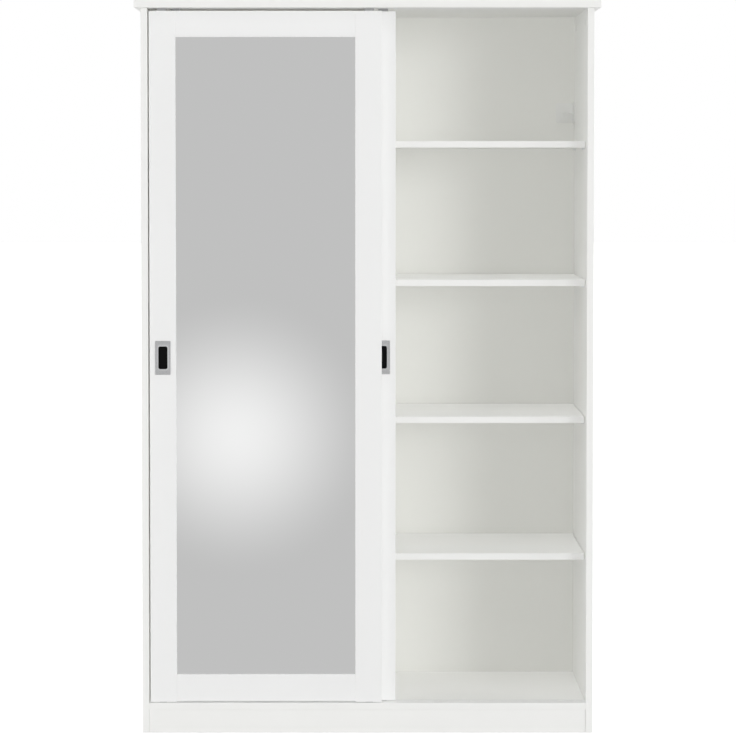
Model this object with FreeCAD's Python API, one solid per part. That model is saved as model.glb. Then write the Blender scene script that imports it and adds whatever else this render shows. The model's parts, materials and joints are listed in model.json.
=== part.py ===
# Two-door sliding wardrobe with framed mirror doors, in millimetres.
# +Z is up and the front faces -Y. The origin is on the floor, under the middle of the top panel.
import FreeCAD, Part
import math
import os

X_AXIS = FreeCAD.Vector(1, 0, 0)
Y_AXIS = FreeCAD.Vector(0, 1, 0)
Z_AXIS = FreeCAD.Vector(0, 0, 1)

# Body boards
HEIGHT = 2000.0
BODY_WIDTH = 1230.0
BODY_DEPTH = 600.0
BOARD = 18.0
TOP_BOARD = 20.0
TOP_OVERHANG = 17.0
EDGE_BEVEL = 0.5
DIVIDER_SETBACK = 70.0
DIVIDER_REAR_PLAY = 0.2
CUT_OVERRUN = 2.0

# Plinth and floor glides
PLINTH_HEIGHT = 66.0
PLINTH_BOARD = 16.0
PLINTH_RECESS = 3.0
PLINTH_PLAY = 0.5
REAR_PLINTH_INSET = 60.0
BLOCK_SIZE = 20.0
BLOCK_INSET = 80.0
GLIDE_HEIGHT = 3.0
GLIDE_WIDTH = 14.0
GLIDE_LENGTH = 30.0
GLIDE_INSET = 25.0

# Hardboard back in its grooves, with the strip that joins its two halves
BACK_BOARD = 3.0
BACK_INSET = 12.0
BACK_GROOVE = 7.0
BACK_PLAY = 0.3
BACK_EDGE_PLAY = 1.0
STRIP_WEB = 2.0
STRIP_FLANGE = 1.0
STRIP_WIDTH = 22.0
STRIP_PLAY = 0.1
STRIP_END_PLAY = 0.5

# Shelves and the pins under them
LOWER_SHELF_RISE = 404.0
MIDDLE_SHELF_RISE = 377.0
SECOND_SHELF_RISE = 376.0
UPPER_SHELF_DROP = 360.0
HAT_SHELF_DROP = 360.0
SHELF_SIDE_PLAY = 1.5
SHELF_REAR_PLAY = 2.0
PIN_RADIUS = 2.5
PIN_IN = 8.0
PIN_OUT = 8.0
PIN_PLAY = 0.1
PIN_END_PLAY = 0.3
PIN_FRONT_INSET = 50.0
PIN_REAR_INSET = 60.0

# Clothes rail
TUBE_RADIUS = 12.5
TUBE_WALL = 1.2
TUBE_DROP = 45.0
TUBE_END_PLAY = 0.5
SOCKET_RADIUS = 17.0
SOCKET_DEPTH = 14.0
SOCKET_BASE = 3.0
SOCKET_PLAY = 0.2

# Cam fittings and dowels. Small repeated fasteners have flat sides instead of round ones.
FASTENER_SIDES = 8
CAM_SIDES = 12
CAM_RADIUS = 7.5
CAM_DEPTH = 13.0
CAM_PLAY = 0.1
CAM_END_PLAY = 0.3
CAM_SETBACK = 34.0
CAM_FRONT_INSET = 110.0
CAM_REAR_INSET = 90.0
BOLT_RADIUS = 3.0
BOLT_IN = 11.0
BOLT_PLAY = 0.2
DOWEL_RADIUS = 4.0
DOWEL_IN = 10.0
DOWEL_LENGTH = 35.0
DOWEL_PLAY = 0.1
DOWEL_END_PLAY = 1.0
DOWEL_SPACING = 32.0

# Wall brackets in the top rear corners
BRACKET_WIDTH = 54.0
BRACKET_HEIGHT = 58.0
BRACKET_LEG = 40.0
BRACKET_WALL = 3.0
BRACKET_DROP = 275.0
BRACKET_HOLE_RADIUS = 2.75
BRACKET_HOLE_INSET = 30.0
BACK_HOLE_PLAY = 1.5

# Tracks, each a plate with two channels
TRACK_PLATE = 1.0
TRACK_INSET = 1.0
TRACK_DEPTH = 61.0
TRACK_END_PLAY = 0.5
CHANNEL_WIDTH = 6.6
CHANNEL_WALL = 1.0
CHANNEL_PLAY = 0.2
BOTTOM_CHANNEL_DEPTH = 6.5
TOP_CHANNEL_DEPTH = 12.0
STOP_HEIGHT = 9.0
STOP_PLAY = 0.2
STOP_GAP = 0.3

# Doors
DOOR_WIDTH = 632.0
DOOR_THICKNESS = 20.0
FRONT_DOOR_SETBACK = 8.0
DOOR_GAP = 8.0
DOOR_TOP_GAP = 8.0
DOOR_BOTTOM_GAP = 3.0
DOOR_END_GAP = 3.8
REAR_DOOR_OPENING = 37.9
STILE_WIDTH = 72.0
TOP_RAIL_WIDTH = 71.0
BOTTOM_RAIL_WIDTH = 74.0
BOTTOM_RAIL_LIFT = 2.0
FRAME_BEVEL = 0.8
FRONT_LIP = 3.0
MIRROR_THICKNESS = 4.0
BACKING_THICKNESS = 3.0
GROOVE_PLAY = 0.3
GROOVE_DEPTH = 10.0
PANEL_ENTRY = 8.0
TONGUE_PLAY = 0.1
TONGUE_END_PLAY = 0.5

# Finger pulls
PULL_HEIGHT = 1030.0
PLATE_WIDTH = 42.0
PLATE_LENGTH = 93.0
PLATE_THICKNESS = 2.0
PLATE_BEVEL_WIDTH = 3.0
PLATE_BEVEL_DEPTH = 1.5
CUP_WIDTH = 25.0
CUP_LENGTH = 62.0
CUP_CORNER = 5.0
CUP_DEPTH = 11.0
CUP_WALL = 1.5
CUP_PLAY = 0.2

# Rollers in the feet of the doors
WHEEL_RADIUS = 11.0
WHEEL_WIDTH = 5.0
WHEEL_GAP = 0.2
WHEEL_INSET = 34.0
WHEEL_SIDE_PLAY = 0.75
WHEEL_ROOM = 1.5
AXLE_RADIUS = 2.0
AXLE_PLAY = 0.1
NOTCH_PLAY = 0.05
HOUSING_LENGTH = 40.0
HOUSING_WIDTH = 14.0
HOUSING_ROOF = 2.5
HOUSING_CORNER = 4.0
FLANGE_RIM = 1.5
FLANGE_THICKNESS = 2.0
HOUSING_PLAY = 0.2

# Guides on the heads of the doors
FIN_LENGTH = 26.0
FIN_WIDTH = 5.0
FIN_CORNER = 1.5
FIN_HEIGHT = 12.0
GUIDE_BASE_LENGTH = 40.0
GUIDE_BASE_WIDTH = 14.0
GUIDE_BASE_THICKNESS = 3.0
GUIDE_BASE_CORNER = 4.0
SPIGOT_RADIUS = 4.0
SPIGOT_LENGTH = 20.0

# Planes of the body
FRONT = (TOP_OVERHANG - BODY_DEPTH) / 2
REAR = FRONT + BODY_DEPTH
SIDE_OUT = BODY_WIDTH / 2
SIDE_IN = SIDE_OUT - BOARD
DIVIDER_FACE = BOARD / 2
FLOOR_TOP = PLINTH_HEIGHT + BOARD
CEILING = HEIGHT - TOP_BOARD
BACK_REAR = REAR - BACK_INSET
BACK_FRONT = BACK_REAR - BACK_BOARD
LOWER_SHELF_TOP = FLOOR_TOP + LOWER_SHELF_RISE
MIDDLE_SHELF_TOP = LOWER_SHELF_TOP + MIDDLE_SHELF_RISE
SECOND_SHELF_TOP = MIDDLE_SHELF_TOP + SECOND_SHELF_RISE
UPPER_SHELF_TOP = CEILING - UPPER_SHELF_DROP
HAT_SHELF_TOP = CEILING - HAT_SHELF_DROP
BRACKET_CENTRE = CEILING - BRACKET_DROP
SHELF_FRONT = FRONT + DIVIDER_SETBACK
SHELF_REAR = BACK_FRONT - SHELF_REAR_PLAY
DIVIDER_REAR = BACK_FRONT - STRIP_PLAY - STRIP_FLANGE - DIVIDER_REAR_PLAY
PLINTH_FRONT = FRONT + PLINTH_RECESS
REAR_PLINTH_BACK = REAR - REAR_PLINTH_INSET

# Planes of the doors and their tracks
FRONT_DOOR_FACE = FRONT + FRONT_DOOR_SETBACK
REAR_DOOR_FACE = FRONT_DOOR_FACE + DOOR_THICKNESS + DOOR_GAP
DOOR_FOOT = FLOOR_TOP + DOOR_BOTTOM_GAP
DOOR_HEAD = CEILING - DOOR_TOP_GAP
DOOR_LIMIT = SIDE_IN - DOOR_END_GAP
FRONT_DOOR_LEFT = -DOOR_LIMIT
REAR_DOOR_LEFT = REAR_DOOR_OPENING - DOOR_LIMIT
CHANNEL_CENTRES = (FRONT_DOOR_FACE + DOOR_THICKNESS / 2, REAR_DOOR_FACE + DOOR_THICKNESS / 2)
CHANNEL_FLOOR = FLOOR_TOP + TRACK_PLATE - BOTTOM_CHANNEL_DEPTH
CHANNEL_ROOF = CEILING - TRACK_PLATE + TOP_CHANNEL_DEPTH
WHEEL_HEIGHT = CHANNEL_FLOOR + WHEEL_GAP + WHEEL_RADIUS
GROOVE_WIDTH = MIRROR_THICKNESS + BACKING_THICKNESS + GROOVE_PLAY
OPENING_BOTTOM = DOOR_FOOT + BOTTOM_RAIL_LIFT + BOTTOM_RAIL_WIDTH
OPENING_TOP = DOOR_HEAD - TOP_RAIL_WIDTH

# Depths at which the fittings sit
CAM_DEPTHS = (FRONT + CAM_FRONT_INSET, REAR - CAM_REAR_INSET)
DOWEL_DEPTHS = (CAM_DEPTHS[0] + DOWEL_SPACING, CAM_DEPTHS[1] - DOWEL_SPACING)
PIN_DEPTHS = (SHELF_FRONT + PIN_FRONT_INSET, SHELF_REAR - PIN_REAR_INSET)

# Each shelf's top, and the faces that it hangs between
SHELVES = {
    "upper_shelf": (UPPER_SHELF_TOP, DIVIDER_FACE, SIDE_IN),
    "second_shelf": (SECOND_SHELF_TOP, DIVIDER_FACE, SIDE_IN),
    "middle_shelf": (MIDDLE_SHELF_TOP, DIVIDER_FACE, SIDE_IN),
    "lower_shelf": (LOWER_SHELF_TOP, DIVIDER_FACE, SIDE_IN),
    "hat_shelf": (HAT_SHELF_TOP, -SIDE_IN, -DIVIDER_FACE),
}

# What is cut from each board for its fittings, and the fittings themselves
cuts = {}
fittings = {"cam_locks": [], "cam_bolts": [], "dowels": [], "shelf_pins": []}


def block(x_range, y_range, z_range):
    """A box between the low and high ends of three ranges."""
    low = FreeCAD.Vector(x_range[0], y_range[0], z_range[0])
    high = FreeCAD.Vector(x_range[1], y_range[1], z_range[1])
    size = high - low
    return Part.makeBox(size.x, size.y, size.z, low)


def board(x_range, y_range, z_range, bevel=EDGE_BEVEL):
    """A box with all its edges broken, as a banded board has them."""
    solid = block(x_range, y_range, z_range)
    return solid.makeChamfer(bevel, solid.Edges)


def around(centre, size, play=0.0):
    """The range of a size centred on a place, with play at both ends."""
    return centre - size / 2 - play, centre + size / 2 + play


def rod(radius, start, end):
    """A cylinder between two points."""
    way = end - start
    return Part.makeCylinder(radius, way.Length, start, way)


def peg(radius, start, end, sides):
    """A prism of many sides between two points. radius is to the middle of its flat sides."""
    way = end - start
    ring = Part.makeCircle(radius / math.cos(math.pi / sides), start, way)
    turn = 360 / sides
    first = ring.Vertexes[0].Point - start
    points = [start + FreeCAD.Rotation(way, turn * (index + 0.5)).multVec(first) for index in range(sides)]
    return prism(Part.makePolygon(points + points[:1]), way)


def clipped(centre, width, length, corner):
    """A closed wire round a level rectangle with its corners clipped at 45 degrees."""
    half_width = width / 2
    half_length = length / 2
    points = []
    for side, end in ((1, 1), (-1, 1), (-1, -1), (1, -1)):
        on_side = centre + FreeCAD.Vector(side * half_width, end * (half_length - corner), 0)
        on_end = centre + FreeCAD.Vector(side * (half_width - corner), end * half_length, 0)
        points += [on_side, on_end] if side * end > 0 else [on_end, on_side]
    return Part.makePolygon(points + points[:1])


def outline(centre, across, along, width, length, corner):
    """A closed wire round a rectangle with round corners, in the plane of two unit vectors."""
    half_width = width / 2
    half_length = length / 2
    turns = ((1, 1), (-1, 1), (-1, -1), (1, -1))
    diagonal = corner * 0.5**0.5
    arcs = []
    for index, (side, end) in enumerate(turns):
        middle = centre + across * side * (half_width - corner) + along * end * (half_length - corner)
        on_side = middle + across * side * corner
        on_end = middle + along * end * corner
        on_corner = middle + (across * side + along * end) * diagonal
        ends = (on_side, on_end) if index % 2 == 0 else (on_end, on_side)
        arcs.append((ends[0], on_corner, ends[1]))
    edges = []
    for index, (start, middle, end) in enumerate(arcs):
        edges.append(Part.Arc(start, middle, end).toShape())
        edges.append(Part.LineSegment(end, arcs[(index + 1) % len(arcs)][0]).toShape())
    return Part.Wire(edges)


def prism(wire, way):
    """The solid that a closed wire sweeps along a vector."""
    return Part.Face(wire).extrude(way)


def cut_from(node, *tools):
    """Keep tools to cut from a board when it is made."""
    cuts.setdefault(node, []).extend(tools)


def cam_joint(end_board, face_board, place, into, opening, thickness):
    """A cam and its bolt, where the end of one board meets the face of another.

    place is on the meeting plane at mid thickness, into points into the face board, and opening
    points out of the face in which the cam's pocket is bored.
    """
    centre = place - into * CAM_SETBACK
    mouth = centre + opening * (thickness / 2)
    bolt_end = place + into * BOLT_IN
    hole_end = bolt_end + into * CAM_END_PLAY
    bore = peg(BOLT_RADIUS + BOLT_PLAY, centre, hole_end, FASTENER_SIDES)
    pocket_floor = mouth - opening * (CAM_DEPTH + CAM_END_PLAY)
    pocket = peg(CAM_RADIUS + CAM_PLAY, mouth + opening * CUT_OVERRUN, pocket_floor, CAM_SIDES)
    cam = peg(CAM_RADIUS, mouth, mouth - opening * CAM_DEPTH, CAM_SIDES)
    cut_from(end_board, bore, pocket)
    cut_from(face_board, bore)
    fittings["cam_locks"].append(cam.cut(bore))
    fittings["cam_bolts"].append(peg(BOLT_RADIUS, centre, bolt_end, FASTENER_SIDES))


def dowel_joint(end_board, face_board, place, into):
    """A dowel across the meeting plane of a board's end and another board's face."""
    start = place - into * (DOWEL_LENGTH - DOWEL_IN)
    end = place + into * DOWEL_IN
    play = into * DOWEL_END_PLAY
    bore = peg(DOWEL_RADIUS + DOWEL_PLAY, start - play, end + play, FASTENER_SIDES)
    cut_from(end_board, bore)
    cut_from(face_board, bore)
    fittings["dowels"].append(peg(DOWEL_RADIUS, start, end, FASTENER_SIDES))


def join_body():
    """The fittings that hold the sides, the top, the bottom and the divider together."""
    for name, side in (("left_side_panel", -1), ("right_side_panel", 1)):
        mid_side = side * (SIDE_IN + BOARD / 2)
        mid_bottom = PLINTH_HEIGHT + BOARD / 2
        for depth in CAM_DEPTHS:
            top_place = FreeCAD.Vector(mid_side, depth, CEILING)
            cam_joint(name, "top_panel", top_place, Z_AXIS, X_AXIS * -side, BOARD)
            end_place = FreeCAD.Vector(side * SIDE_IN, depth, mid_bottom)
            cam_joint("bottom_panel", name, end_place, X_AXIS * side, -Z_AXIS, BOARD)
        for depth in DOWEL_DEPTHS:
            dowel_joint(name, "top_panel", FreeCAD.Vector(mid_side, depth, CEILING), Z_AXIS)
            end_place = FreeCAD.Vector(side * SIDE_IN, depth, mid_bottom)
            dowel_joint("bottom_panel", name, end_place, X_AXIS * side)
    for depth in DOWEL_DEPTHS:
        dowel_joint("centre_divider", "top_panel", FreeCAD.Vector(0, depth, CEILING), Z_AXIS)
        dowel_joint("centre_divider", "bottom_panel", FreeCAD.Vector(0, depth, FLOOR_TOP), -Z_AXIS)


def pin_shelf(top, left_face, right_face, left_board, right_board):
    """Four pins in the boards on both sides of a shelf, just under it."""
    height = top - BOARD - PIN_RADIUS - PIN_PLAY
    for depth in PIN_DEPTHS:
        for face, wall, out in ((left_face, left_board, X_AXIS), (right_face, right_board, -X_AXIS)):
            place = FreeCAD.Vector(face, depth, height)
            root = place - out * PIN_IN
            fittings["shelf_pins"].append(peg(PIN_RADIUS, root, place + out * PIN_OUT, FASTENER_SIDES))
            hole_end = root - out * PIN_END_PLAY
            hole = peg(PIN_RADIUS + PIN_PLAY, hole_end, place + out * CUT_OVERRUN, FASTENER_SIDES)
            cut_from(wall, hole)


def pin_shelves():
    """The pins of every shelf."""
    for top, left_face, right_face in SHELVES.values():
        left_board = "left_side_panel" if left_face < -DIVIDER_FACE else "centre_divider"
        right_board = "right_side_panel" if right_face > DIVIDER_FACE else "centre_divider"
        pin_shelf(top, left_face, right_face, left_board, right_board)


def back_groove(x_range, z_range):
    """The slot in which the back stands."""
    return block(x_range, (BACK_FRONT, BACK_REAR + BACK_PLAY), z_range)


def groove_body():
    """The grooves for the back and for the channels of both tracks."""
    back_width = (-SIDE_IN - BACK_GROOVE, SIDE_IN + BACK_GROOVE)
    back_height = (FLOOR_TOP - BACK_GROOVE, CEILING + BACK_GROOVE)
    slot = back_groove(back_width, back_height)
    outer = CHANNEL_WIDTH + 2 * CHANNEL_WALL
    between_sides = (-SIDE_IN, SIDE_IN)
    roof = CHANNEL_ROOF + CHANNEL_WALL + CHANNEL_PLAY
    floor = CHANNEL_FLOOR - CHANNEL_WALL - CHANNEL_PLAY
    for node in ("top_panel", "bottom_panel", "left_side_panel", "right_side_panel"):
        cut_from(node, slot)
    for centre in CHANNEL_CENTRES:
        band = around(centre, outer, CHANNEL_PLAY)
        cut_from("top_panel", block(between_sides, band, (CEILING - CUT_OVERRUN, roof)))
        cut_from("bottom_panel", block(between_sides, band, (floor, FLOOR_TOP + CUT_OVERRUN)))


def body_boards():
    """The boards of the body, before their grooves and holes."""
    wide = around(0, BODY_WIDTH, TOP_OVERHANG)
    deep = (FRONT, REAR)
    between = (-SIDE_IN, SIDE_IN)
    standing = (GLIDE_HEIGHT, CEILING)
    plinth_range = (-SIDE_IN + PLINTH_PLAY, SIDE_IN - PLINTH_PLAY)
    plinth_z = (GLIDE_HEIGHT, PLINTH_HEIGHT)
    front_plinth_y = (PLINTH_FRONT, PLINTH_FRONT + PLINTH_BOARD)
    rear_plinth_y = (REAR_PLINTH_BACK - PLINTH_BOARD, REAR_PLINTH_BACK)
    cross_y = (front_plinth_y[1], rear_plinth_y[0])
    return {
        "top_panel": board(wide, (FRONT - TOP_OVERHANG, REAR), (CEILING, HEIGHT)),
        "bottom_panel": board(between, deep, (PLINTH_HEIGHT, FLOOR_TOP)),
        "left_side_panel": board((-SIDE_OUT, -SIDE_IN), deep, standing),
        "right_side_panel": board((SIDE_IN, SIDE_OUT), deep, standing),
        "centre_divider": board(around(0, BOARD), (SHELF_FRONT, DIVIDER_REAR), (FLOOR_TOP, CEILING)),
        "front_plinth": board(plinth_range, front_plinth_y, plinth_z),
        "rear_plinth": board(plinth_range, rear_plinth_y, plinth_z),
        "plinth_cross_rail": board(around(0, PLINTH_BOARD), cross_y, plinth_z),
    }


def shelf_boards():
    """Every shelf, with play at its ends and behind it."""
    shelves = {}
    for name, (top, left_face, right_face) in SHELVES.items():
        across = (left_face + SHELF_SIDE_PLAY, right_face - SHELF_SIDE_PLAY)
        shelves[name] = board(across, (SHELF_FRONT, SHELF_REAR), (top - BOARD, top))
    return shelves


def plinth_blocks():
    """Corner blocks that tie the plinth boards to the bottom panel."""
    solids = []
    under = (PLINTH_HEIGHT - BLOCK_SIZE, PLINTH_HEIGHT)
    front_face = PLINTH_FRONT + PLINTH_BOARD
    rear_face = REAR_PLINTH_BACK - PLINTH_BOARD
    for place in (BLOCK_INSET - SIDE_IN, -SIDE_IN / 2, SIDE_IN / 2, SIDE_IN - BLOCK_INSET):
        across = around(place, BLOCK_SIZE)
        solids.append(block(across, (front_face, front_face + BLOCK_SIZE), under))
        solids.append(block(across, (rear_face - BLOCK_SIZE, rear_face), under))
    return solids


def floor_glides():
    """Flat glides under the sides and the cross rail."""
    solids = []
    for centre in (-SIDE_OUT + BOARD / 2, 0, SIDE_OUT - BOARD / 2):
        front = PLINTH_FRONT + PLINTH_BOARD + GLIDE_INSET
        rear = REAR_PLINTH_BACK - PLINTH_BOARD - GLIDE_INSET
        for y_range in ((front, front + GLIDE_LENGTH), (rear - GLIDE_LENGTH, rear)):
            solids.append(block(around(centre, GLIDE_WIDTH), y_range, (0, GLIDE_HEIGHT)))
    return solids


def back_parts():
    """The two hardboard sheets of the back and the strip between them."""
    outer_edge = SIDE_IN + BACK_GROOVE - BACK_EDGE_PLAY
    inner_edge = STRIP_WEB / 2 + STRIP_PLAY
    deep = (BACK_FRONT, BACK_REAR)
    tall = (FLOOR_TOP - BACK_GROOVE + BACK_EDGE_PLAY, CEILING + BACK_GROOVE - BACK_EDGE_PLAY)
    strip_tall = (FLOOR_TOP + STRIP_END_PLAY, CEILING - STRIP_END_PLAY)
    front_side = BACK_FRONT - STRIP_PLAY
    rear_side = BACK_REAR + STRIP_PLAY
    flange = around(0, STRIP_WIDTH)
    web = block(around(0, STRIP_WEB), (front_side, rear_side), strip_tall)
    front_flange = block(flange, (front_side - STRIP_FLANGE, front_side), strip_tall)
    rear_flange = block(flange, (rear_side, rear_side + STRIP_FLANGE), strip_tall)
    return {
        "left_back_panel": block((-outer_edge, -inner_edge), deep, tall),
        "right_back_panel": block((inner_edge, outer_edge), deep, tall),
        "back_joint_strip": web.multiFuse([front_flange, rear_flange]).removeSplitter(),
    }


def wall_brackets():
    """An angle in each top rear corner, with a hole for the screw into the wall."""
    tall = around(BRACKET_CENTRE, BRACKET_HEIGHT)
    leg_front = BACK_FRONT - BRACKET_LEG
    web_half = BRACKET_WALL / 2
    brackets = {}
    for name, side in (("left", -1), ("right", 1)):
        face = FreeCAD.Vector(side * SIDE_IN, BACK_FRONT, BRACKET_CENTRE - web_half)
        ends = sorted((side * SIDE_IN, side * (SIDE_IN - BRACKET_WIDTH)))
        leg_ends = sorted((side * SIDE_IN, side * (SIDE_IN - BRACKET_WALL)))
        back_leg = block(ends, (BACK_FRONT - BRACKET_WALL, BACK_FRONT), tall)
        side_leg = block(leg_ends, (leg_front, BACK_FRONT), tall)
        gusset_tip = face - X_AXIS * (side * BRACKET_HOLE_INSET / 2)
        gusset = Part.makePolygon([face, gusset_tip, face - Y_AXIS * BRACKET_LEG, face])
        web = prism(gusset, Z_AXIS * BRACKET_WALL)
        hole_x = side * (SIDE_IN - BRACKET_HOLE_INSET)
        hole_front = FreeCAD.Vector(hole_x, BACK_FRONT - BRACKET_WALL - CUT_OVERRUN, BRACKET_CENTRE)
        hole_rear = FreeCAD.Vector(hole_x, BACK_REAR + CUT_OVERRUN, BRACKET_CENTRE)
        hole = rod(BRACKET_HOLE_RADIUS, hole_front, hole_rear)
        cut_from(name + "_back_panel", rod(BRACKET_HOLE_RADIUS + BACK_HOLE_PLAY, hole_front, hole_rear))
        solid = back_leg.multiFuse([side_leg, web]).removeSplitter()
        brackets[name + "_wall_bracket"] = solid.cut(hole)
    return brackets


def track(base, depth, up):
    """A plate on a board's face with two channels let into the board.

    base is the height of the board's face, and up is 1 where the channels reach up into the top
    panel and -1 where they reach down into the bottom panel.
    """
    front = FRONT + TRACK_INSET
    rear = front + TRACK_DEPTH
    inner = CHANNEL_WIDTH / 2
    outer = inner + CHANNEL_WALL
    open_side = base - up * TRACK_PLATE
    closed = open_side + up * depth
    points = [(front, open_side)]
    for centre in CHANNEL_CENTRES:
        points += [(centre - inner, open_side), (centre - inner, closed)]
        points += [(centre + inner, closed), (centre + inner, open_side)]
    points += [(rear, open_side), (rear, base)]
    for centre in reversed(CHANNEL_CENTRES):
        points += [(centre + outer, base), (centre + outer, closed + up * CHANNEL_WALL)]
        points += [(centre - outer, closed + up * CHANNEL_WALL), (centre - outer, base)]
    points += [(front, base), (front, open_side)]
    start = TRACK_END_PLAY - SIDE_IN
    wire = Part.makePolygon([FreeCAD.Vector(start, y, z) for y, z in points])
    return prism(wire, X_AXIS * (-2 * start))


def track_stops():
    """Blocks in the ends of the top channels, which the fins of the doors meet."""
    solids = []
    fin_end = DOOR_LIMIT - WHEEL_INSET + FIN_LENGTH / 2
    tall = (CHANNEL_ROOF - STOP_HEIGHT, CHANNEL_ROOF)
    for centre in CHANNEL_CENTRES:
        band = around(centre, CHANNEL_WIDTH, -STOP_PLAY)
        for side in (-1, 1):
            ends = sorted((side * (fin_end + STOP_GAP), side * (SIDE_IN - TRACK_END_PLAY)))
            solids.append(block(ends, band, tall))
    return solids


def clothes_rail():
    """The hanging tube under the hat shelf and the sockets at its ends."""
    height = HAT_SHELF_TOP - BOARD - TUBE_DROP
    depth = (SHELF_FRONT + SHELF_REAR) / 2
    left = FreeCAD.Vector(-SIDE_IN, depth, height)
    right = FreeCAD.Vector(-DIVIDER_FACE, depth, height)
    seat = X_AXIS * SOCKET_BASE
    start = left + seat + X_AXIS * TUBE_END_PLAY
    end = right - seat - X_AXIS * TUBE_END_PLAY
    tube = rod(TUBE_RADIUS, start, end).cut(rod(TUBE_RADIUS - TUBE_WALL, start, end))
    sockets = []
    for face, out in ((left, X_AXIS), (right, -X_AXIS)):
        mouth = face + out * SOCKET_DEPTH
        hollow = rod(TUBE_RADIUS + SOCKET_PLAY, face + out * SOCKET_BASE, mouth + out * CUT_OVERRUN)
        sockets.append(rod(SOCKET_RADIUS, face, mouth).cut(hollow))
    return {"clothes_rail": tube, "rail_sockets": Part.makeCompound(sockets)}


def groove_range(face):
    """The depth range of the groove that holds a door's mirror and its backing."""
    return face + FRONT_LIP, face + FRONT_LIP + GROOVE_WIDTH


def stile(left, face, inner_side):
    """An upright of a door frame, grooved on the side that inner_side points to."""
    right = left + STILE_WIDTH
    solid = board((left, right), (face, face + DOOR_THICKNESS), (DOOR_FOOT, DOOR_HEAD), FRAME_BEVEL)
    edge = right if inner_side > 0 else left
    ends = sorted((edge - inner_side * GROOVE_DEPTH, edge + inner_side * CUT_OVERRUN))
    return solid.cut(block(ends, groove_range(face), (DOOR_FOOT, DOOR_HEAD)))


def rail(left, face, low, high, groove_up):
    """A cross piece of a door frame, tongued at its ends and grooved along its inner edge."""
    across = (left + STILE_WIDTH, left + DOOR_WIDTH - STILE_WIDTH)
    body = board(across, (face, face + DOOR_THICKNESS), (low, high), FRAME_BEVEL)
    slot = groove_range(face)
    inner_edge = high if groove_up else low
    inward = 1 if groove_up else -1
    slot_z = sorted((inner_edge - inward * GROOVE_DEPTH, inner_edge + inward * CUT_OVERRUN))
    reach = GROOVE_DEPTH - TONGUE_END_PLAY
    tongue_x = (across[0] - reach, across[1] + reach)
    tongue_y = (slot[0] + TONGUE_PLAY, slot[1] - TONGUE_PLAY)
    tongue_z = sorted((low + high - inner_edge, inner_edge - inward * GROOVE_DEPTH))
    return body.fuse(block(tongue_x, tongue_y, tongue_z)).cut(block(across, slot, slot_z))


def pull(centre_x, face):
    """The plate, the cup and the pocket of a finger pull in a door's face."""
    centre = FreeCAD.Vector(centre_x, face, PULL_HEIGHT)
    front = centre - Y_AXIS * PLATE_THICKNESS
    bevel_end = front + Y_AXIS * PLATE_BEVEL_DEPTH
    rim = 2 * PLATE_BEVEL_WIDTH
    shell = 2 * CUP_WALL
    wide = outline(front, X_AXIS, Z_AXIS, CUP_WIDTH + rim, CUP_LENGTH + rim, CUP_CORNER + PLATE_BEVEL_WIDTH)
    narrow = outline(bevel_end, X_AXIS, Z_AXIS, CUP_WIDTH, CUP_LENGTH, CUP_CORNER)
    plate = block(around(centre_x, PLATE_WIDTH), (front.y, face), around(PULL_HEIGHT, PLATE_LENGTH))
    plate = plate.cut([Part.makeLoft([wide, narrow], True, True), prism(narrow, Y_AXIS * PLATE_THICKNESS)])
    mouth = outline(centre, X_AXIS, Z_AXIS, CUP_WIDTH, CUP_LENGTH, CUP_CORNER)
    skin = outline(centre, X_AXIS, Z_AXIS, CUP_WIDTH + shell, CUP_LENGTH + shell, CUP_CORNER + CUP_WALL)
    cup = prism(skin, Y_AXIS * (CUP_DEPTH + CUP_WALL)).cut(prism(mouth, Y_AXIS * CUP_DEPTH))
    loose = shell + 2 * CUP_PLAY
    hole = outline(centre, X_AXIS, Z_AXIS, CUP_WIDTH + loose, CUP_LENGTH + loose, CUP_CORNER + CUP_WALL)
    pocket = prism(hole, Y_AXIS * (CUP_DEPTH + CUP_WALL + CUP_PLAY))
    return plate, cup, pocket


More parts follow.
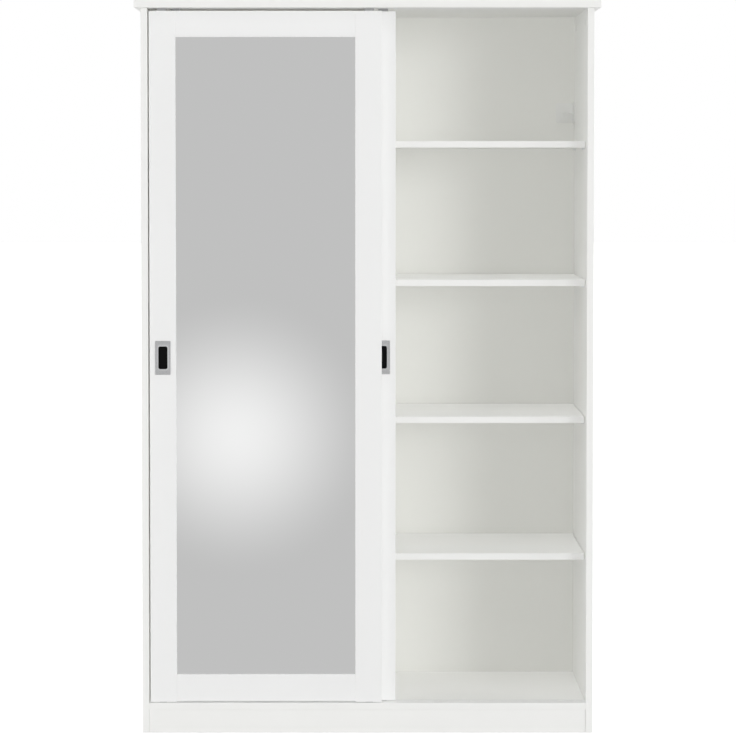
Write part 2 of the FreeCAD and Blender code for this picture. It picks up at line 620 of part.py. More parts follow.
def roller(centre_x, centre_y):
    """The housing, axle and wheel in a door's foot, and the mortise that holds them."""
    foot = FreeCAD.Vector(centre_x, centre_y, DOOR_FOOT)
    hub = FreeCAD.Vector(centre_x, centre_y, WHEEL_HEIGHT)
    slot_top = WHEEL_HEIGHT + WHEEL_RADIUS + WHEEL_ROOM
    tall = Z_AXIS * (slot_top + HOUSING_ROOF - DOOR_FOOT)
    rim = 2 * FLANGE_RIM
    body = prism(clipped(foot, HOUSING_LENGTH, HOUSING_WIDTH, HOUSING_CORNER), tall)
    flange_size = (HOUSING_LENGTH + rim, HOUSING_WIDTH + rim, HOUSING_CORNER + FLANGE_RIM)
    flange = prism(clipped(foot, *flange_size), Z_AXIS * FLANGE_THICKNESS)
    slot_x = around(centre_x, 2 * WHEEL_RADIUS, WHEEL_ROOM)
    slot_y = around(centre_y, WHEEL_WIDTH, WHEEL_SIDE_PLAY)
    slot = block(slot_x, slot_y, (DOOR_FOOT - CUT_OVERRUN, slot_top))
    half_axle = Y_AXIS * (HOUSING_WIDTH / 2)
    axle = rod(AXLE_RADIUS, hub - half_axle, hub + half_axle)
    notch_x = around(centre_x, 2 * AXLE_RADIUS, NOTCH_PLAY)
    notch_y = around(centre_y, HOUSING_WIDTH, CUT_OVERRUN)
    notch = block(notch_x, notch_y, (DOOR_FOOT - CUT_OVERRUN, WHEEL_HEIGHT + AXLE_RADIUS))
    housing = body.fuse(flange).removeSplitter().cut([slot, notch])
    half_wheel = Y_AXIS * (WHEEL_WIDTH / 2)
    bore = rod(AXLE_RADIUS + AXLE_PLAY, hub - half_wheel, hub + half_wheel)
    wheel = rod(WHEEL_RADIUS, hub - half_wheel, hub + half_wheel).cut(bore)
    room = 2 * HOUSING_PLAY
    well_size = (HOUSING_LENGTH + room, HOUSING_WIDTH + room, HOUSING_CORNER + HOUSING_PLAY)
    well = prism(clipped(foot, *well_size), tall + Z_AXIS * HOUSING_PLAY)
    seat_size = [size + room for size in flange_size[:2]] + [flange_size[2] + HOUSING_PLAY]
    seat = prism(clipped(foot, *seat_size), Z_AXIS * FLANGE_THICKNESS)
    return housing, axle, wheel, well.fuse(seat)


def guide(centre_x, centre_y):
    """The guide let into a door's head, and the mortise that holds it."""
    head = FreeCAD.Vector(centre_x, centre_y, DOOR_HEAD)
    seat = head - Z_AXIS * GUIDE_BASE_THICKNESS
    base_size = (GUIDE_BASE_LENGTH, GUIDE_BASE_WIDTH, GUIDE_BASE_CORNER)
    base = prism(clipped(seat, *base_size), Z_AXIS * GUIDE_BASE_THICKNESS)
    fin = prism(clipped(head, FIN_LENGTH, FIN_WIDTH, FIN_CORNER), Z_AXIS * FIN_HEIGHT)
    spigot = peg(SPIGOT_RADIUS, seat, seat - Z_AXIS * SPIGOT_LENGTH, FASTENER_SIDES)
    solid = base.multiFuse([fin, spigot])
    room = 2 * HOUSING_PLAY
    well_size = (GUIDE_BASE_LENGTH + room, GUIDE_BASE_WIDTH + room, GUIDE_BASE_CORNER + HOUSING_PLAY)
    well = prism(clipped(seat, *well_size), Z_AXIS * GUIDE_BASE_THICKNESS)
    bore_end = seat - Z_AXIS * (SPIGOT_LENGTH + HOUSING_PLAY)
    bore = peg(SPIGOT_RADIUS + HOUSING_PLAY, seat, bore_end, FASTENER_SIDES)
    return solid, well.fuse(bore)


def door(name, left, face, pull_side):
    """Every piece of one door. pull_side is left or right, for the stile that has the pull."""
    right = left + DOOR_WIDTH
    centre_y = face + DOOR_THICKNESS / 2
    stiles = {
        "left": stile(left, face, 1),
        "right": stile(right - STILE_WIDTH, face, -1),
    }
    pull_x = left + STILE_WIDTH / 2 if pull_side == "left" else right - STILE_WIDTH / 2
    plate, cup, pocket = pull(pull_x, face)
    stiles[pull_side] = stiles[pull_side].cut(pocket)
    pieces = {name + "_pull_plate": plate, name + "_pull_cup": cup}
    housings, axles, guides = [], [], []
    for side, place in (("left", left + WHEEL_INSET), ("right", right - WHEEL_INSET)):
        housing, axle, wheel, foot_mortise = roller(place, centre_y)
        fin, head_mortise = guide(place, centre_y)
        stiles[side] = stiles[side].cut([foot_mortise, head_mortise])
        pieces[name + "_" + side + "_wheel"] = wheel
        pieces[name + "_" + side + "_stile"] = stiles[side]
        housings.append(housing)
        axles.append(axle)
        guides.append(fin)
    pieces[name + "_roller_housings"] = Part.makeCompound(housings)
    pieces[name + "_roller_axles"] = Part.makeCompound(axles)
    pieces[name + "_door_guides"] = Part.makeCompound(guides)
    rail_foot = DOOR_FOOT + BOTTOM_RAIL_LIFT
    pieces[name + "_bottom_rail"] = rail(left, face, rail_foot, OPENING_BOTTOM, True)
    pieces[name + "_top_rail"] = rail(left, face, OPENING_TOP, DOOR_HEAD, False)
    wide = (left + STILE_WIDTH - PANEL_ENTRY, right - STILE_WIDTH + PANEL_ENTRY)
    tall = (OPENING_BOTTOM - PANEL_ENTRY, OPENING_TOP + PANEL_ENTRY)
    glass_front = face + FRONT_LIP
    glass_rear = glass_front + MIRROR_THICKNESS
    pieces[name + "_mirror"] = block(wide, (glass_front, glass_rear), tall)
    pieces[name + "_mirror_backing"] = block(wide, (glass_rear, glass_rear + BACKING_THICKNESS), tall)
    return pieces


def wardrobe():
    """Every node of the wardrobe, by name."""
    join_body()
    pin_shelves()
    groove_body()
    brackets = wall_brackets()
    boards = {**body_boards(), **shelf_boards(), **back_parts()}
    nodes = {name: solid.cut(cuts[name]) if name in cuts else solid for name, solid in boards.items()}
    nodes.update(brackets)
    nodes["plinth_blocks"] = Part.makeCompound(plinth_blocks())
    nodes["floor_glides"] = Part.makeCompound(floor_glides())
    nodes["bottom_track"] = track(FLOOR_TOP, BOTTOM_CHANNEL_DEPTH, -1)
    nodes["top_track"] = track(CEILING, TOP_CHANNEL_DEPTH, 1)
    nodes["track_stops"] = Part.makeCompound(track_stops())
    nodes.update(clothes_rail())
    nodes.update({name: Part.makeCompound(solids) for name, solids in fittings.items()})
    nodes.update(door("front", FRONT_DOOR_LEFT, FRONT_DOOR_FACE, "left"))
    nodes.update(door("rear", REAR_DOOR_LEFT, REAR_DOOR_FACE, "right"))
    return nodes


os.makedirs("parts", exist_ok=True)
for node, shape in wardrobe().items():
    shape.exportStep("parts/" + node + ".step")
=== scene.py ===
"""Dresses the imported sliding-door wardrobe and sets up the studio round it.

Lengths are in metres in the part's own frame: +Z is up and the front faces -Y. Angles are in degrees.
"""
import json
import logging
import math
from collections.abc import Callable, Iterable, Sequence
from dataclasses import dataclass, field
from enum import Enum

import bmesh
import bpy
from mathutils import Matrix, Vector

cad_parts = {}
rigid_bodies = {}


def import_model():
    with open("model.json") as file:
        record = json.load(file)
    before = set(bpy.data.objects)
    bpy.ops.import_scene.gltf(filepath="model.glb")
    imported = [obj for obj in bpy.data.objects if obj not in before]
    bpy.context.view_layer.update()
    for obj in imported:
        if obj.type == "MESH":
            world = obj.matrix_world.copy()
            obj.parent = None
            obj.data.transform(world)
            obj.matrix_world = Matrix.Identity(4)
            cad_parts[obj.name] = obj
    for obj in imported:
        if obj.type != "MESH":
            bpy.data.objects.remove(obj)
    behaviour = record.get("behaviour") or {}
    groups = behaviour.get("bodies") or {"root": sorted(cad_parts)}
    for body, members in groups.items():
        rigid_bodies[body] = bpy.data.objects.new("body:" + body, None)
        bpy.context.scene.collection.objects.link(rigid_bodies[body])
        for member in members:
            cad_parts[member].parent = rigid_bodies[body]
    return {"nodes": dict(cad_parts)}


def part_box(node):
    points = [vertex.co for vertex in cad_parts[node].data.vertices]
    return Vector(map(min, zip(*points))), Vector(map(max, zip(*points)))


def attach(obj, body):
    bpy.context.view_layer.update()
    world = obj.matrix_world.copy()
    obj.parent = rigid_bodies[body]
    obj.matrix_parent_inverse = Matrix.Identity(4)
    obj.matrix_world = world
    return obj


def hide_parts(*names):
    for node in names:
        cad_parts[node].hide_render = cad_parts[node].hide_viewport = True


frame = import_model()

log = logging.getLogger("wardrobe")

ORIGIN = Vector((0, 0, 0))
X_AXIS = Vector((1, 0, 0))
Y_AXIS = Vector((0, 1, 0))
Z_AXIS = Vector((0, 0, 1))
NEAR = 1e-5  # places closer than this count as the same
RING_MERGE = 5e-6  # doubles of a turned piece closer than this become one
MERGE = 1e-6  # doubles of a finished piece closer than this become one
ALIGNED = 0.9  # a direction with a larger share along an axis follows it
SMOOTH_ANGLE = 32.0
CARCASS = "carcass"

Pair = tuple[float, float]
Triple = tuple[float, float, float]
Profile = tuple[Pair, ...]
Socket = bpy.types.NodeSocket
Sockets = dict[str | int, object]
Test = Callable[[Vector, Vector], bool]

WHITE: Triple = (1.0, 1.0, 1.0)
SOFT, EVEN, FINE, FINEST = 2.0, 3.0, 4.0, 5.0  # how much detail a noise has


class Slot(Enum):
    """The record's material slots."""

    BOARD = "white_board"
    FOIL = "door_foil"
    HARDBOARD = "hardboard"
    PLASTIC = "white_plastic"
    TRACK = "track_plastic"
    NYLON = "nylon"
    WHEEL = "wheel_nylon"
    CHROME = "chrome"
    STEEL = "zinc_steel"
    CAST = "zinc_cast"
    BEECH = "beech"
    MIRROR = "mirror"
    BRUSHED = "brushed_steel"
    BLACK = "black_plastic"


class Pattern(Enum):
    """The surface effects that materials share, each one node group."""

    TONE = "Tone drift"
    GLOSS = "Gloss drift"
    PEARL = "Pearl emboss"
    BRUSH = "Brushed lines"
    FIBRE = "Pressed fibres"
    GRAIN = "Wood grain"


class Kind(Enum):
    """Sockets of a node group."""

    VALUE = "NodeSocketFloat"
    COLOUR = "NodeSocketColor"
    VECTOR = "NodeSocketVector"


Kinds = dict[str, Kind]


class Element(Enum):
    """What a selection picks from a mesh."""

    VERTEX = "VERT"
    EDGE = "EDGE"
    FACE = "FACE"


class Boolean(Enum):
    """What one piece does to another."""

    ADD = "UNION"
    CUT = "DIFFERENCE"


class Sketch:
    """A node tree that is filled node by node."""

    def __init__(self, tree: bpy.types.NodeTree) -> None:
        """Keep the tree and clear it."""
        self.tree = tree
        tree.nodes.clear()

    def feed(self, node: bpy.types.Node, sockets: Sockets) -> bpy.types.Node:
        """Set or link a node's inputs.

        Args:
            node: the node.
            sockets: a value or another node's output for each input, by name or place.

        Returns:
            The same node.
        """
        for name, value in sockets.items():
            if isinstance(value, Socket):
                self.tree.links.new(value, node.inputs[name])
            else:
                node.inputs[name].default_value = value
        return node

    def add(self, kind: str, sockets: Sockets | None = None, **settings: object) -> bpy.types.Node:
        """Add one node.

        Args:
            kind: the node's type without its "ShaderNode" start, or the whole name.
            sockets: its inputs, as feed takes them.
            settings: the node's own properties.

        Returns:
            The new node.
        """
        node = self.tree.nodes.new(kind if kind.startswith("Node") else "ShaderNode" + kind)
        for name, value in settings.items():
            setattr(node, name, value)
        return self.feed(node, sockets or {})

    def math(self, operation: str, *values: object) -> Socket:
        """Add a Math node with its inputs in order, and give its output."""
        return self.add("Math", dict(enumerate(values)), operation=operation).outputs[0]

    def vector(self, operation: str, sockets: Sockets, output: str = "Vector") -> Socket:
        """Add a Vector Math node and give one of its outputs."""
        return self.add("VectorMath", sockets, operation=operation).outputs[output]

    def noise(self, place: Socket, scale: object, detail: float, distortion: float = 0.0) -> Socket:
        """Add a noise and give its factor."""
        sockets = {"Vector": place, "Scale": scale, "Detail": detail, "Distortion": distortion}
        return self.add("TexNoise", sockets).outputs["Fac"]

    def drift(self, place: Socket, scale: Socket, detail: float, amount: Socket, base: object) -> Socket:
        """Vary a value over the surface.

        Args:
            place: the place on the surface.
            scale: the noise's scale.
            detail: its detail.
            amount: how far the value drifts.
            base: what it drifts about.

        Returns:
            The value.
        """
        centred = self.math("SUBTRACT", self.noise(place, scale, detail), 0.5)
        return self.math("MULTIPLY_ADD", centred, amount, base)

    def remap(self, value: Socket, bounds: Pair, results: Pair = (0.0, 1.0), **settings: object) -> Socket:
        """Map a value to another range.

        Args:
            value: the value.
            bounds: its lowest and highest.
            results: what those become.
            settings: the node's own properties.

        Returns:
            The mapped value.
        """
        return self.add("MapRange", dict(enumerate((value, *bounds, *results))), **settings).outputs[0]

    def mix_values(self, share: Socket, first: object, second: object) -> Socket:
        """Mix two values."""
        return self.add("Mix", {0: share, 2: first, 3: second}).outputs[0]

    def mix_colours(self, share: Socket, first: object, second: object) -> Socket:
        """Mix two colours."""
        return self.add("Mix", {0: share, 6: first, 7: second}, data_type="RGBA").outputs[2]


@dataclass
class PatternBook:
    """Makes each shared node group once. Its fields are the patterns' fixed proportions."""

    grit_scale: float = 2.3
    grit_share: float = 0.45
    fine_line_scale: float = 3.7
    fine_line_share: float = 0.6
    line_bounds: Pair = (0.35, 0.65)
    strand_ways: tuple[Triple, ...] = ((260.0, 260.0, 1500.0), (1500.0, 260.0, 260.0))
    strand_bend: float = 1.4
    cloud_scale: float = 5.0
    cloud_share: float = 0.1
    strand_bounds: Pair = (0.42, 0.8)
    grain_bend: float = 0.6
    grain_bounds: Pair = (0.3, 0.7)
    made: dict[Pattern, bpy.types.NodeTree] = field(default_factory=dict)

    def place(self, sketch: Sketch, pattern: Pattern, sockets: Sockets) -> bpy.types.Node:
        """Place a pattern in a material, and make it first if nothing used it yet.

        Args:
            sketch: the material's nodes.
            pattern: the pattern to place.
            sockets: its inputs.

        Returns:
            The group node.
        """
        if pattern not in self.made:
            makers = {
                Pattern.TONE: self.tone, Pattern.GLOSS: self.gloss, Pattern.PEARL: self.pearl,
                Pattern.BRUSH: self.brush, Pattern.FIBRE: self.fibre, Pattern.GRAIN: self.grain,
            }
            self.made[pattern] = makers[pattern]()
        return sketch.feed(sketch.add("Group", node_tree=self.made[pattern]), sockets)

    @staticmethod
    def open(pattern: Pattern, inputs: Kinds, outputs: Kinds) -> tuple[Sketch, dict[str, Socket]]:
        """Open a new group.

        Args:
            pattern: the pattern that the group makes.
            inputs: the kind of each input by name, besides the place that every group takes.
            outputs: the kind of each output by name.

        Returns:
            The group's sketch, and its input sockets by name.
        """
        tree = bpy.data.node_groups.new(pattern.value, "ShaderNodeTree")
        inputs = {"Vector": Kind.VECTOR, **inputs}
        for way, sockets in (("INPUT", inputs), ("OUTPUT", outputs)):
            for name, kind in sockets.items():
                tree.interface.new_socket(name, in_out=way, socket_type=kind.value)
        sketch = Sketch(tree)
        entry = sketch.add("NodeGroupInput")
        return sketch, {name: entry.outputs[name] for name in inputs}

    def tone(self) -> bpy.types.NodeTree:
        """Make a colour that drifts a little lighter and darker over the surface.

        Returns:
            The group.
        """
        kinds = {"Colour": Kind.COLOUR, "Amount": Kind.VALUE, "Scale": Kind.VALUE}
        sketch, given = self.open(Pattern.TONE, kinds, {"Colour": Kind.COLOUR})
        factor = sketch.drift(given["Vector"], given["Scale"], EVEN, given["Amount"], 1.0)
        tinted = sketch.vector("SCALE", {0: given["Colour"], "Scale": factor})
        sketch.add("NodeGroupOutput", {"Colour": tinted})
        return sketch.tree

    def gloss(self) -> bpy.types.NodeTree:
        """Make a roughness that drifts over the surface.

        Returns:
            The group.
        """
        kinds = {"Base": Kind.VALUE, "Spread": Kind.VALUE, "Scale": Kind.VALUE}
        sketch, given = self.open(Pattern.GLOSS, kinds, {"Roughness": Kind.VALUE})
        rough = sketch.drift(given["Vector"], given["Scale"], FINEST, given["Spread"], given["Base"])
        sketch.add("NodeGroupOutput", {"Roughness": rough})
        return sketch.tree

    def pearl(self) -> bpy.types.NodeTree:
        """Make the fine pebbled relief of a pressed laminate or a moulded skin.

        Returns:
            The group.
        """
        sketch, given = self.open(Pattern.PEARL, {"Scale": Kind.VALUE}, {"Height": Kind.VALUE})
        cells = sketch.add("TexVoronoi", given, feature="SMOOTH_F1")
        grit = sketch.noise(given["Vector"], sketch.math("MULTIPLY", given["Scale"], self.grit_scale), SOFT)
        height = sketch.math("MULTIPLY_ADD", grit, self.grit_share, cells.outputs["Distance"])
        sketch.add("NodeGroupOutput", {"Height": height})
        return sketch.tree

    def brush(self) -> bpy.types.NodeTree:
        """Make the long scratches of brushed metal. Stretch is the scale along each axis.

        Returns:
            The group.
        """
        outputs = {"Height": Kind.VALUE, "Mask": Kind.VALUE}
        sketch, given = self.open(Pattern.BRUSH, {"Stretch": Kind.VECTOR}, outputs)
        pulled = sketch.vector("MULTIPLY", {0: given["Vector"], 1: given["Stretch"]})
        coarse = sketch.noise(pulled, 1.0, FINE)
        fine = sketch.noise(pulled, self.fine_line_scale, SOFT)
        height = sketch.math("MULTIPLY_ADD", fine, self.fine_line_share, coarse)
        sketch.add("NodeGroupOutput", {"Height": height, "Mask": sketch.remap(coarse, self.line_bounds)})
        return sketch.tree

    def fibre(self) -> bpy.types.NodeTree:
        """Make the matted fibres and dark flecks of bare hardboard.

        Returns:
            The group.
        """
        kinds = {"Dark": Kind.COLOUR, "Light": Kind.COLOUR}
        sketch, given = self.open(Pattern.FIBRE, kinds, {"Colour": Kind.COLOUR, "Height": Kind.VALUE})
        strands = []
        for stretch in self.strand_ways:
            pulled = sketch.vector("MULTIPLY", {0: given["Vector"], 1: stretch})
            strands.append(sketch.noise(pulled, 1.0, FINE, self.strand_bend))
        mat = sketch.math("MAXIMUM", *strands)
        cloud = sketch.noise(given["Vector"], self.cloud_scale, SOFT)
        share = sketch.remap(sketch.math("MULTIPLY_ADD", cloud, self.cloud_share, mat), self.strand_bounds)
        tint = sketch.mix_colours(share, given["Dark"], given["Light"])
        sketch.add("NodeGroupOutput", {"Colour": tint, "Height": mat})
        return sketch.tree

    def grain(self) -> bpy.types.NodeTree:
        """Make the fine straight grain of a turned wooden pin.

        Returns:
            The group.
        """
        kinds = {"Stretch": Kind.VECTOR, "Dark": Kind.COLOUR, "Light": Kind.COLOUR}
        sketch, given = self.open(Pattern.GRAIN, kinds, {"Colour": Kind.COLOUR, "Height": Kind.VALUE})
        pulled = sketch.vector("MULTIPLY", {0: given["Vector"], 1: given["Stretch"]})
        lines = sketch.noise(pulled, 1.0, FINEST, self.grain_bend)
        tint = sketch.mix_colours(sketch.remap(lines, self.grain_bounds), given["Dark"], given["Light"])
        sketch.add("NodeGroupOutput", {"Colour": tint, "Height": lines})
        return sketch.tree


def opaque(colour: Triple) -> tuple[float, float, float, float]:
    """Give a colour its alpha of one."""
    return (*colour, 1.0)


@dataclass
class Coat:
    """One material while it is made: the patterns, its nodes, the place on the piece and the shader."""

    book: PatternBook
    sketch: Sketch
    place: Socket
    shader: bpy.types.Node

    def pattern(self, pattern: Pattern, **sockets: object) -> bpy.types.Node:
        """Place a pattern on the surface, with its inputs by name."""
        return self.book.place(self.sketch, pattern, {"Vector": self.place, **sockets})

    def shade(self, sockets: Sockets) -> None:
        """Set or link inputs of the shader."""
        self.sketch.feed(self.shader, sockets)

    def emboss(self, height: Socket, strength: float, depth: float) -> None:
        """Feed a height to the shader's normal.

        Args:
            height: the relief's height.
            strength: how much of it shows.
            depth: what a height of one stands for.
        """
        bump = self.sketch.add("Bump", {"Strength": strength, "Distance": depth, "Height": height})
        self.shade({"Normal": bump.outputs[0]})


@dataclass(frozen=True)
class Finish:
    """A procedural finish. Colours are linear, scales are per metre and relief is in metres."""

    name: str
    slot: Slot
    colour: Triple
    roughness: float
    drift: float = 0.03
    drift_scale: float = 3.0
    gloss_spread: float = 0.1
    gloss_scale: float = 40.0
    specular: float = 0.5

    def material(self, book: PatternBook) -> bpy.types.Material:
        """Make the finish's material.

        Args:
            book: the shared node groups.

        Returns:
            The new material.
        """
        made = bpy.data.materials.new(self.name)
        made.use_nodes = True
        sketch = Sketch(made.node_tree)
        place = sketch.add("TexCoord").outputs["Object"]
        shader = sketch.add("BsdfPrincipled", {"Specular IOR Level": self.specular})
        self.paint(Coat(book, sketch, place, shader))
        sketch.add("OutputMaterial", {"Surface": shader.outputs[0]})
        return made

    def tone(self, coat: Coat) -> Socket:
        """The finish's colour with its drift over the surface."""
        sockets = {"Colour": opaque(self.colour), "Amount": self.drift, "Scale": self.drift_scale}
        return coat.pattern(Pattern.TONE, **sockets).outputs[0]

    def paint(self, coat: Coat) -> None:
        """Feed the finish's colour and roughness to the shader.

        Args:
            coat: the material that is made.
        """
        sockets = {"Base": self.roughness, "Spread": self.gloss_spread, "Scale": self.gloss_scale}
        gloss = coat.pattern(Pattern.GLOSS, **sockets)
        coat.shade({"Base Color": self.tone(coat), "Roughness": gloss.outputs[0]})


@dataclass(frozen=True)
class Moulded(Finish):
    """Laminate, foil or plastic with a fine pebbled skin."""

    pebble_scale: float = 900.0
    relief: float = 0.00004
    strength: float = 0.3

    def pebbles(self, coat: Coat) -> Socket:
        """The height of the pebbled skin."""
        return coat.pattern(Pattern.PEARL, Scale=self.pebble_scale).outputs["Height"]

    def paint(self, coat: Coat) -> None:
        """Add the pebbled skin to the colour and gloss."""
        super().paint(coat)
        coat.emboss(self.pebbles(coat), self.strength, self.relief)


@dataclass(frozen=True)
class Hardboard(Moulded):
    """Hardboard with a painted front and, behind the depth bare_from, a bare brown rear."""

    dark: Triple = (0.16, 0.088, 0.043)
    light: Triple = (0.37, 0.232, 0.13)
    bare_from: float = 0.0
    bare_roughness: float = 0.85

    def paint(self, coat: Coat) -> None:
        """Paint the front and leave the rear bare.

        Args:
            coat: the material that is made.
        """
        sketch = coat.sketch
        depth = sketch.add("SeparateXYZ", {0: coat.place}).outputs["Y"]
        bare = sketch.math("GREATER_THAN", depth, self.bare_from)
        rear = coat.pattern(Pattern.FIBRE, Dark=opaque(self.dark), Light=opaque(self.light))
        coat.shade({
            "Base Color": sketch.mix_colours(bare, self.tone(coat), rear.outputs["Colour"]),
            "Roughness": sketch.mix_values(bare, self.roughness, self.bare_roughness),
        })
        height = sketch.mix_values(bare, self.pebbles(coat), rear.outputs["Height"])
        coat.emboss(height, self.strength, self.relief)


@dataclass(frozen=True)
class Metal(Moulded):
    """Plated, cast or polished metal, whose skin is finer."""

    pebble_scale: float = 1400.0
    relief: float = 0.00003
    strength: float = 0.15

    def paint(self, coat: Coat) -> None:
        """Make the skin metal."""
        super().paint(coat)
        coat.shade({"Metallic": 1.0})


@dataclass(frozen=True)
class Brushed(Metal):
    """Steel brushed along its height."""

    stretch: Triple = (4200.0, 4200.0, 90.0)
    line_share: float = 0.16

    def paint(self, coat: Coat) -> None:
        """Make long scratches that darken the metal and vary its gloss.

        Args:
            coat: the material that is made.
        """
        lines = coat.pattern(Pattern.BRUSH, Stretch=self.stretch)
        rough = coat.sketch.math("MULTIPLY_ADD", lines.outputs["Mask"], self.line_share, self.roughness)
        shade = coat.sketch.math("MULTIPLY_ADD", lines.outputs["Mask"], -self.line_share, 1.0)
        lined = coat.sketch.vector("SCALE", {0: self.tone(coat), "Scale": shade})
        coat.shade({"Metallic": 1.0, "Base Color": lined, "Roughness": rough})
        coat.emboss(lines.outputs["Height"], self.strength, self.relief)


@dataclass(frozen=True)
class Wood(Finish):
    """Turned beech."""

    dark: Triple = (0.34, 0.19, 0.095)
    stretch: Triple = (220.0, 1800.0, 220.0)
    relief: float = 0.00005
    strength: float = 0.3

    def paint(self, coat: Coat) -> None:
        """Add the grain.

        Args:
            coat: the material that is made.
        """
        super().paint(coat)
        colours = {"Dark": opaque(self.dark), "Light": opaque(self.colour)}
        grain = coat.pattern(Pattern.GRAIN, Stretch=self.stretch, **colours)
        coat.shade({"Base Color": grain.outputs["Colour"]})
        coat.emboss(grain.outputs["Height"], self.strength, self.relief)


@dataclass(frozen=True)
class Silvered(Finish):
    """Mirror glass, whose silvering varies only faintly."""

    def paint(self, coat: Coat) -> None:
        """Make a clean reflection with a faint drift of tone."""
        coat.shade({"Metallic": 1.0, "Roughness": self.roughness, "Base Color": self.tone(coat)})


BOARD = Moulded("White laminate", Slot.BOARD, (0.903, 0.904, 0.886), 0.42)
FOIL = Moulded("White door foil", Slot.FOIL, (0.9, 0.902, 0.897), 0.34, pebble_scale=420.0, strength=0.15)
BACK = Hardboard("Hardboard back", Slot.HARDBOARD, (0.853, 0.855, 0.822), 0.5, bare_from=0.2963)
FRONT_BACKING = Hardboard("Front mirror backing", Slot.HARDBOARD, (0.8, 0.8, 0.79), 0.5, bare_from=-0.2737)
REAR_BACKING = Hardboard("Rear mirror backing", Slot.HARDBOARD, (0.8, 0.8, 0.79), 0.5, bare_from=-0.2457)
PLASTIC = Moulded("White plastic", Slot.PLASTIC, (0.82, 0.824, 0.805), 0.36, pebble_scale=1300.0)
TRACK = Moulded("Track plastic", Slot.TRACK, (0.86, 0.862, 0.855), 0.32, pebble_scale=1500.0, strength=0.15)
NYLON = Moulded("Nylon", Slot.NYLON, (0.8, 0.79, 0.75), 0.42, pebble_scale=1700.0)
WHEEL = Moulded("Wheel nylon", Slot.WHEEL, (0.5, 0.51, 0.52), 0.35, pebble_scale=1900.0)
# Painted shade: the door guides get a greyed copy of the white nylon, so that they read as the shadow in the
# gap over the doors.
GAP_SHADE_NYLON = Moulded("Nylon painted with gap shade", Slot.NYLON, (0.42, 0.422, 0.425), 0.45, pebble_scale=1700.0, specular=0.3)
BLACK = Moulded("Black plastic", Slot.BLACK, (0.003, 0.003, 0.0032), 0.34, pebble_scale=1600.0, specular=0.12)
CHROME = Metal("Chrome", Slot.CHROME, (0.87, 0.875, 0.885), 0.08, gloss_spread=0.05, strength=0.02)
STEEL = Metal("Zinc plated steel", Slot.STEEL, (0.82, 0.825, 0.835), 0.36)
CAST = Metal("Die cast zinc", Slot.CAST, (0.6, 0.605, 0.615), 0.42, strength=0.35)
BRUSHED = Brushed("Brushed steel", Slot.BRUSHED, (0.76, 0.765, 0.775), 0.26)
BEECH = Wood("Beech", Slot.BEECH, (0.62, 0.41, 0.235), 0.55)
MIRROR = Silvered("Mirror glass", Slot.MIRROR, (0.95, 0.952, 0.95), 0.0, drift=0.004)

BAY_SHELVES = ("upper_shelf", "second_shelf", "middle_shelf", "lower_shelf")
NODE_FINISHES: dict[Finish, tuple[str, ...]] = {
    BOARD: (
        "top_panel", "bottom_panel", "left_side_panel", "right_side_panel", "centre_divider",
        "front_plinth", "rear_plinth", "plinth_cross_rail", "hat_shelf", *BAY_SHELVES,
    ),
    BACK: ("left_back_panel", "right_back_panel"),
    FRONT_BACKING: ("front_mirror_backing",),
    REAR_BACKING: ("rear_mirror_backing",),
    PLASTIC: ("back_joint_strip",),
    TRACK: ("bottom_track", "top_track"),
    NYLON: ("track_stops", "plinth_blocks", "front_roller_housings", "rear_roller_housings"),
    GAP_SHADE_NYLON: ("front_door_guides", "rear_door_guides"),
    STEEL: ("cam_bolts", "front_roller_axles", "rear_roller_axles"),
    BEECH: ("dowels",),
    FOIL: (
        "front_left_stile", "front_right_stile", "front_top_rail", "front_bottom_rail",
        "rear_left_stile", "rear_right_stile", "rear_top_rail", "rear_bottom_rail",
    ),
    MIRROR: ("front_mirror", "rear_mirror"),
}


def clear_selection() -> None:
    """Leave edit mode and select nothing."""
    if bpy.context.object and bpy.context.object.mode != "OBJECT":
        bpy.ops.object.mode_set(mode="OBJECT")
    bpy.ops.object.select_all(action="DESELECT")


def activate(piece: bpy.types.Object) -> None:
    """Select one object alone and make it the active one.

    Args:
        piece: the object.
    """
    clear_selection()
    piece.select_set(True)
    bpy.context.view_layer.objects.active = piece


def outwards() -> None:
    """Point every face of the piece in edit mode outwards."""
    bpy.ops.mesh.select_all(action="SELECT")
    bpy.ops.mesh.normals_make_consistent(inside=False)


def along(axis: Vector) -> Test:
    """A test for edges that run along an axis."""
    return lambda place, way: abs(way.dot(axis)) > ALIGNED


def towards(direction: Vector) -> Test:
    """A test for faces that look in a direction."""
    return lambda place, normal: normal.dot(direction) > ALIGNED


def copy_to(pattern: bpy.types.Object, name: str, place: Matrix) -> bpy.types.Object:
    """Copy a piece, with its own mesh.

    Args:
        pattern: the piece to copy.
        name: the copy's name.
        place: where the copy goes.

    Returns:
        The copy, with its place in its mesh.
    """
    activate(pattern)
    bpy.ops.object.duplicate(linked=False)
    copy = bpy.context.object
    copy.name = name
    copy.matrix_world = place
    bpy.ops.object.transform_apply(location=True, rotation=True, scale=True)
    clear_selection()
    return copy


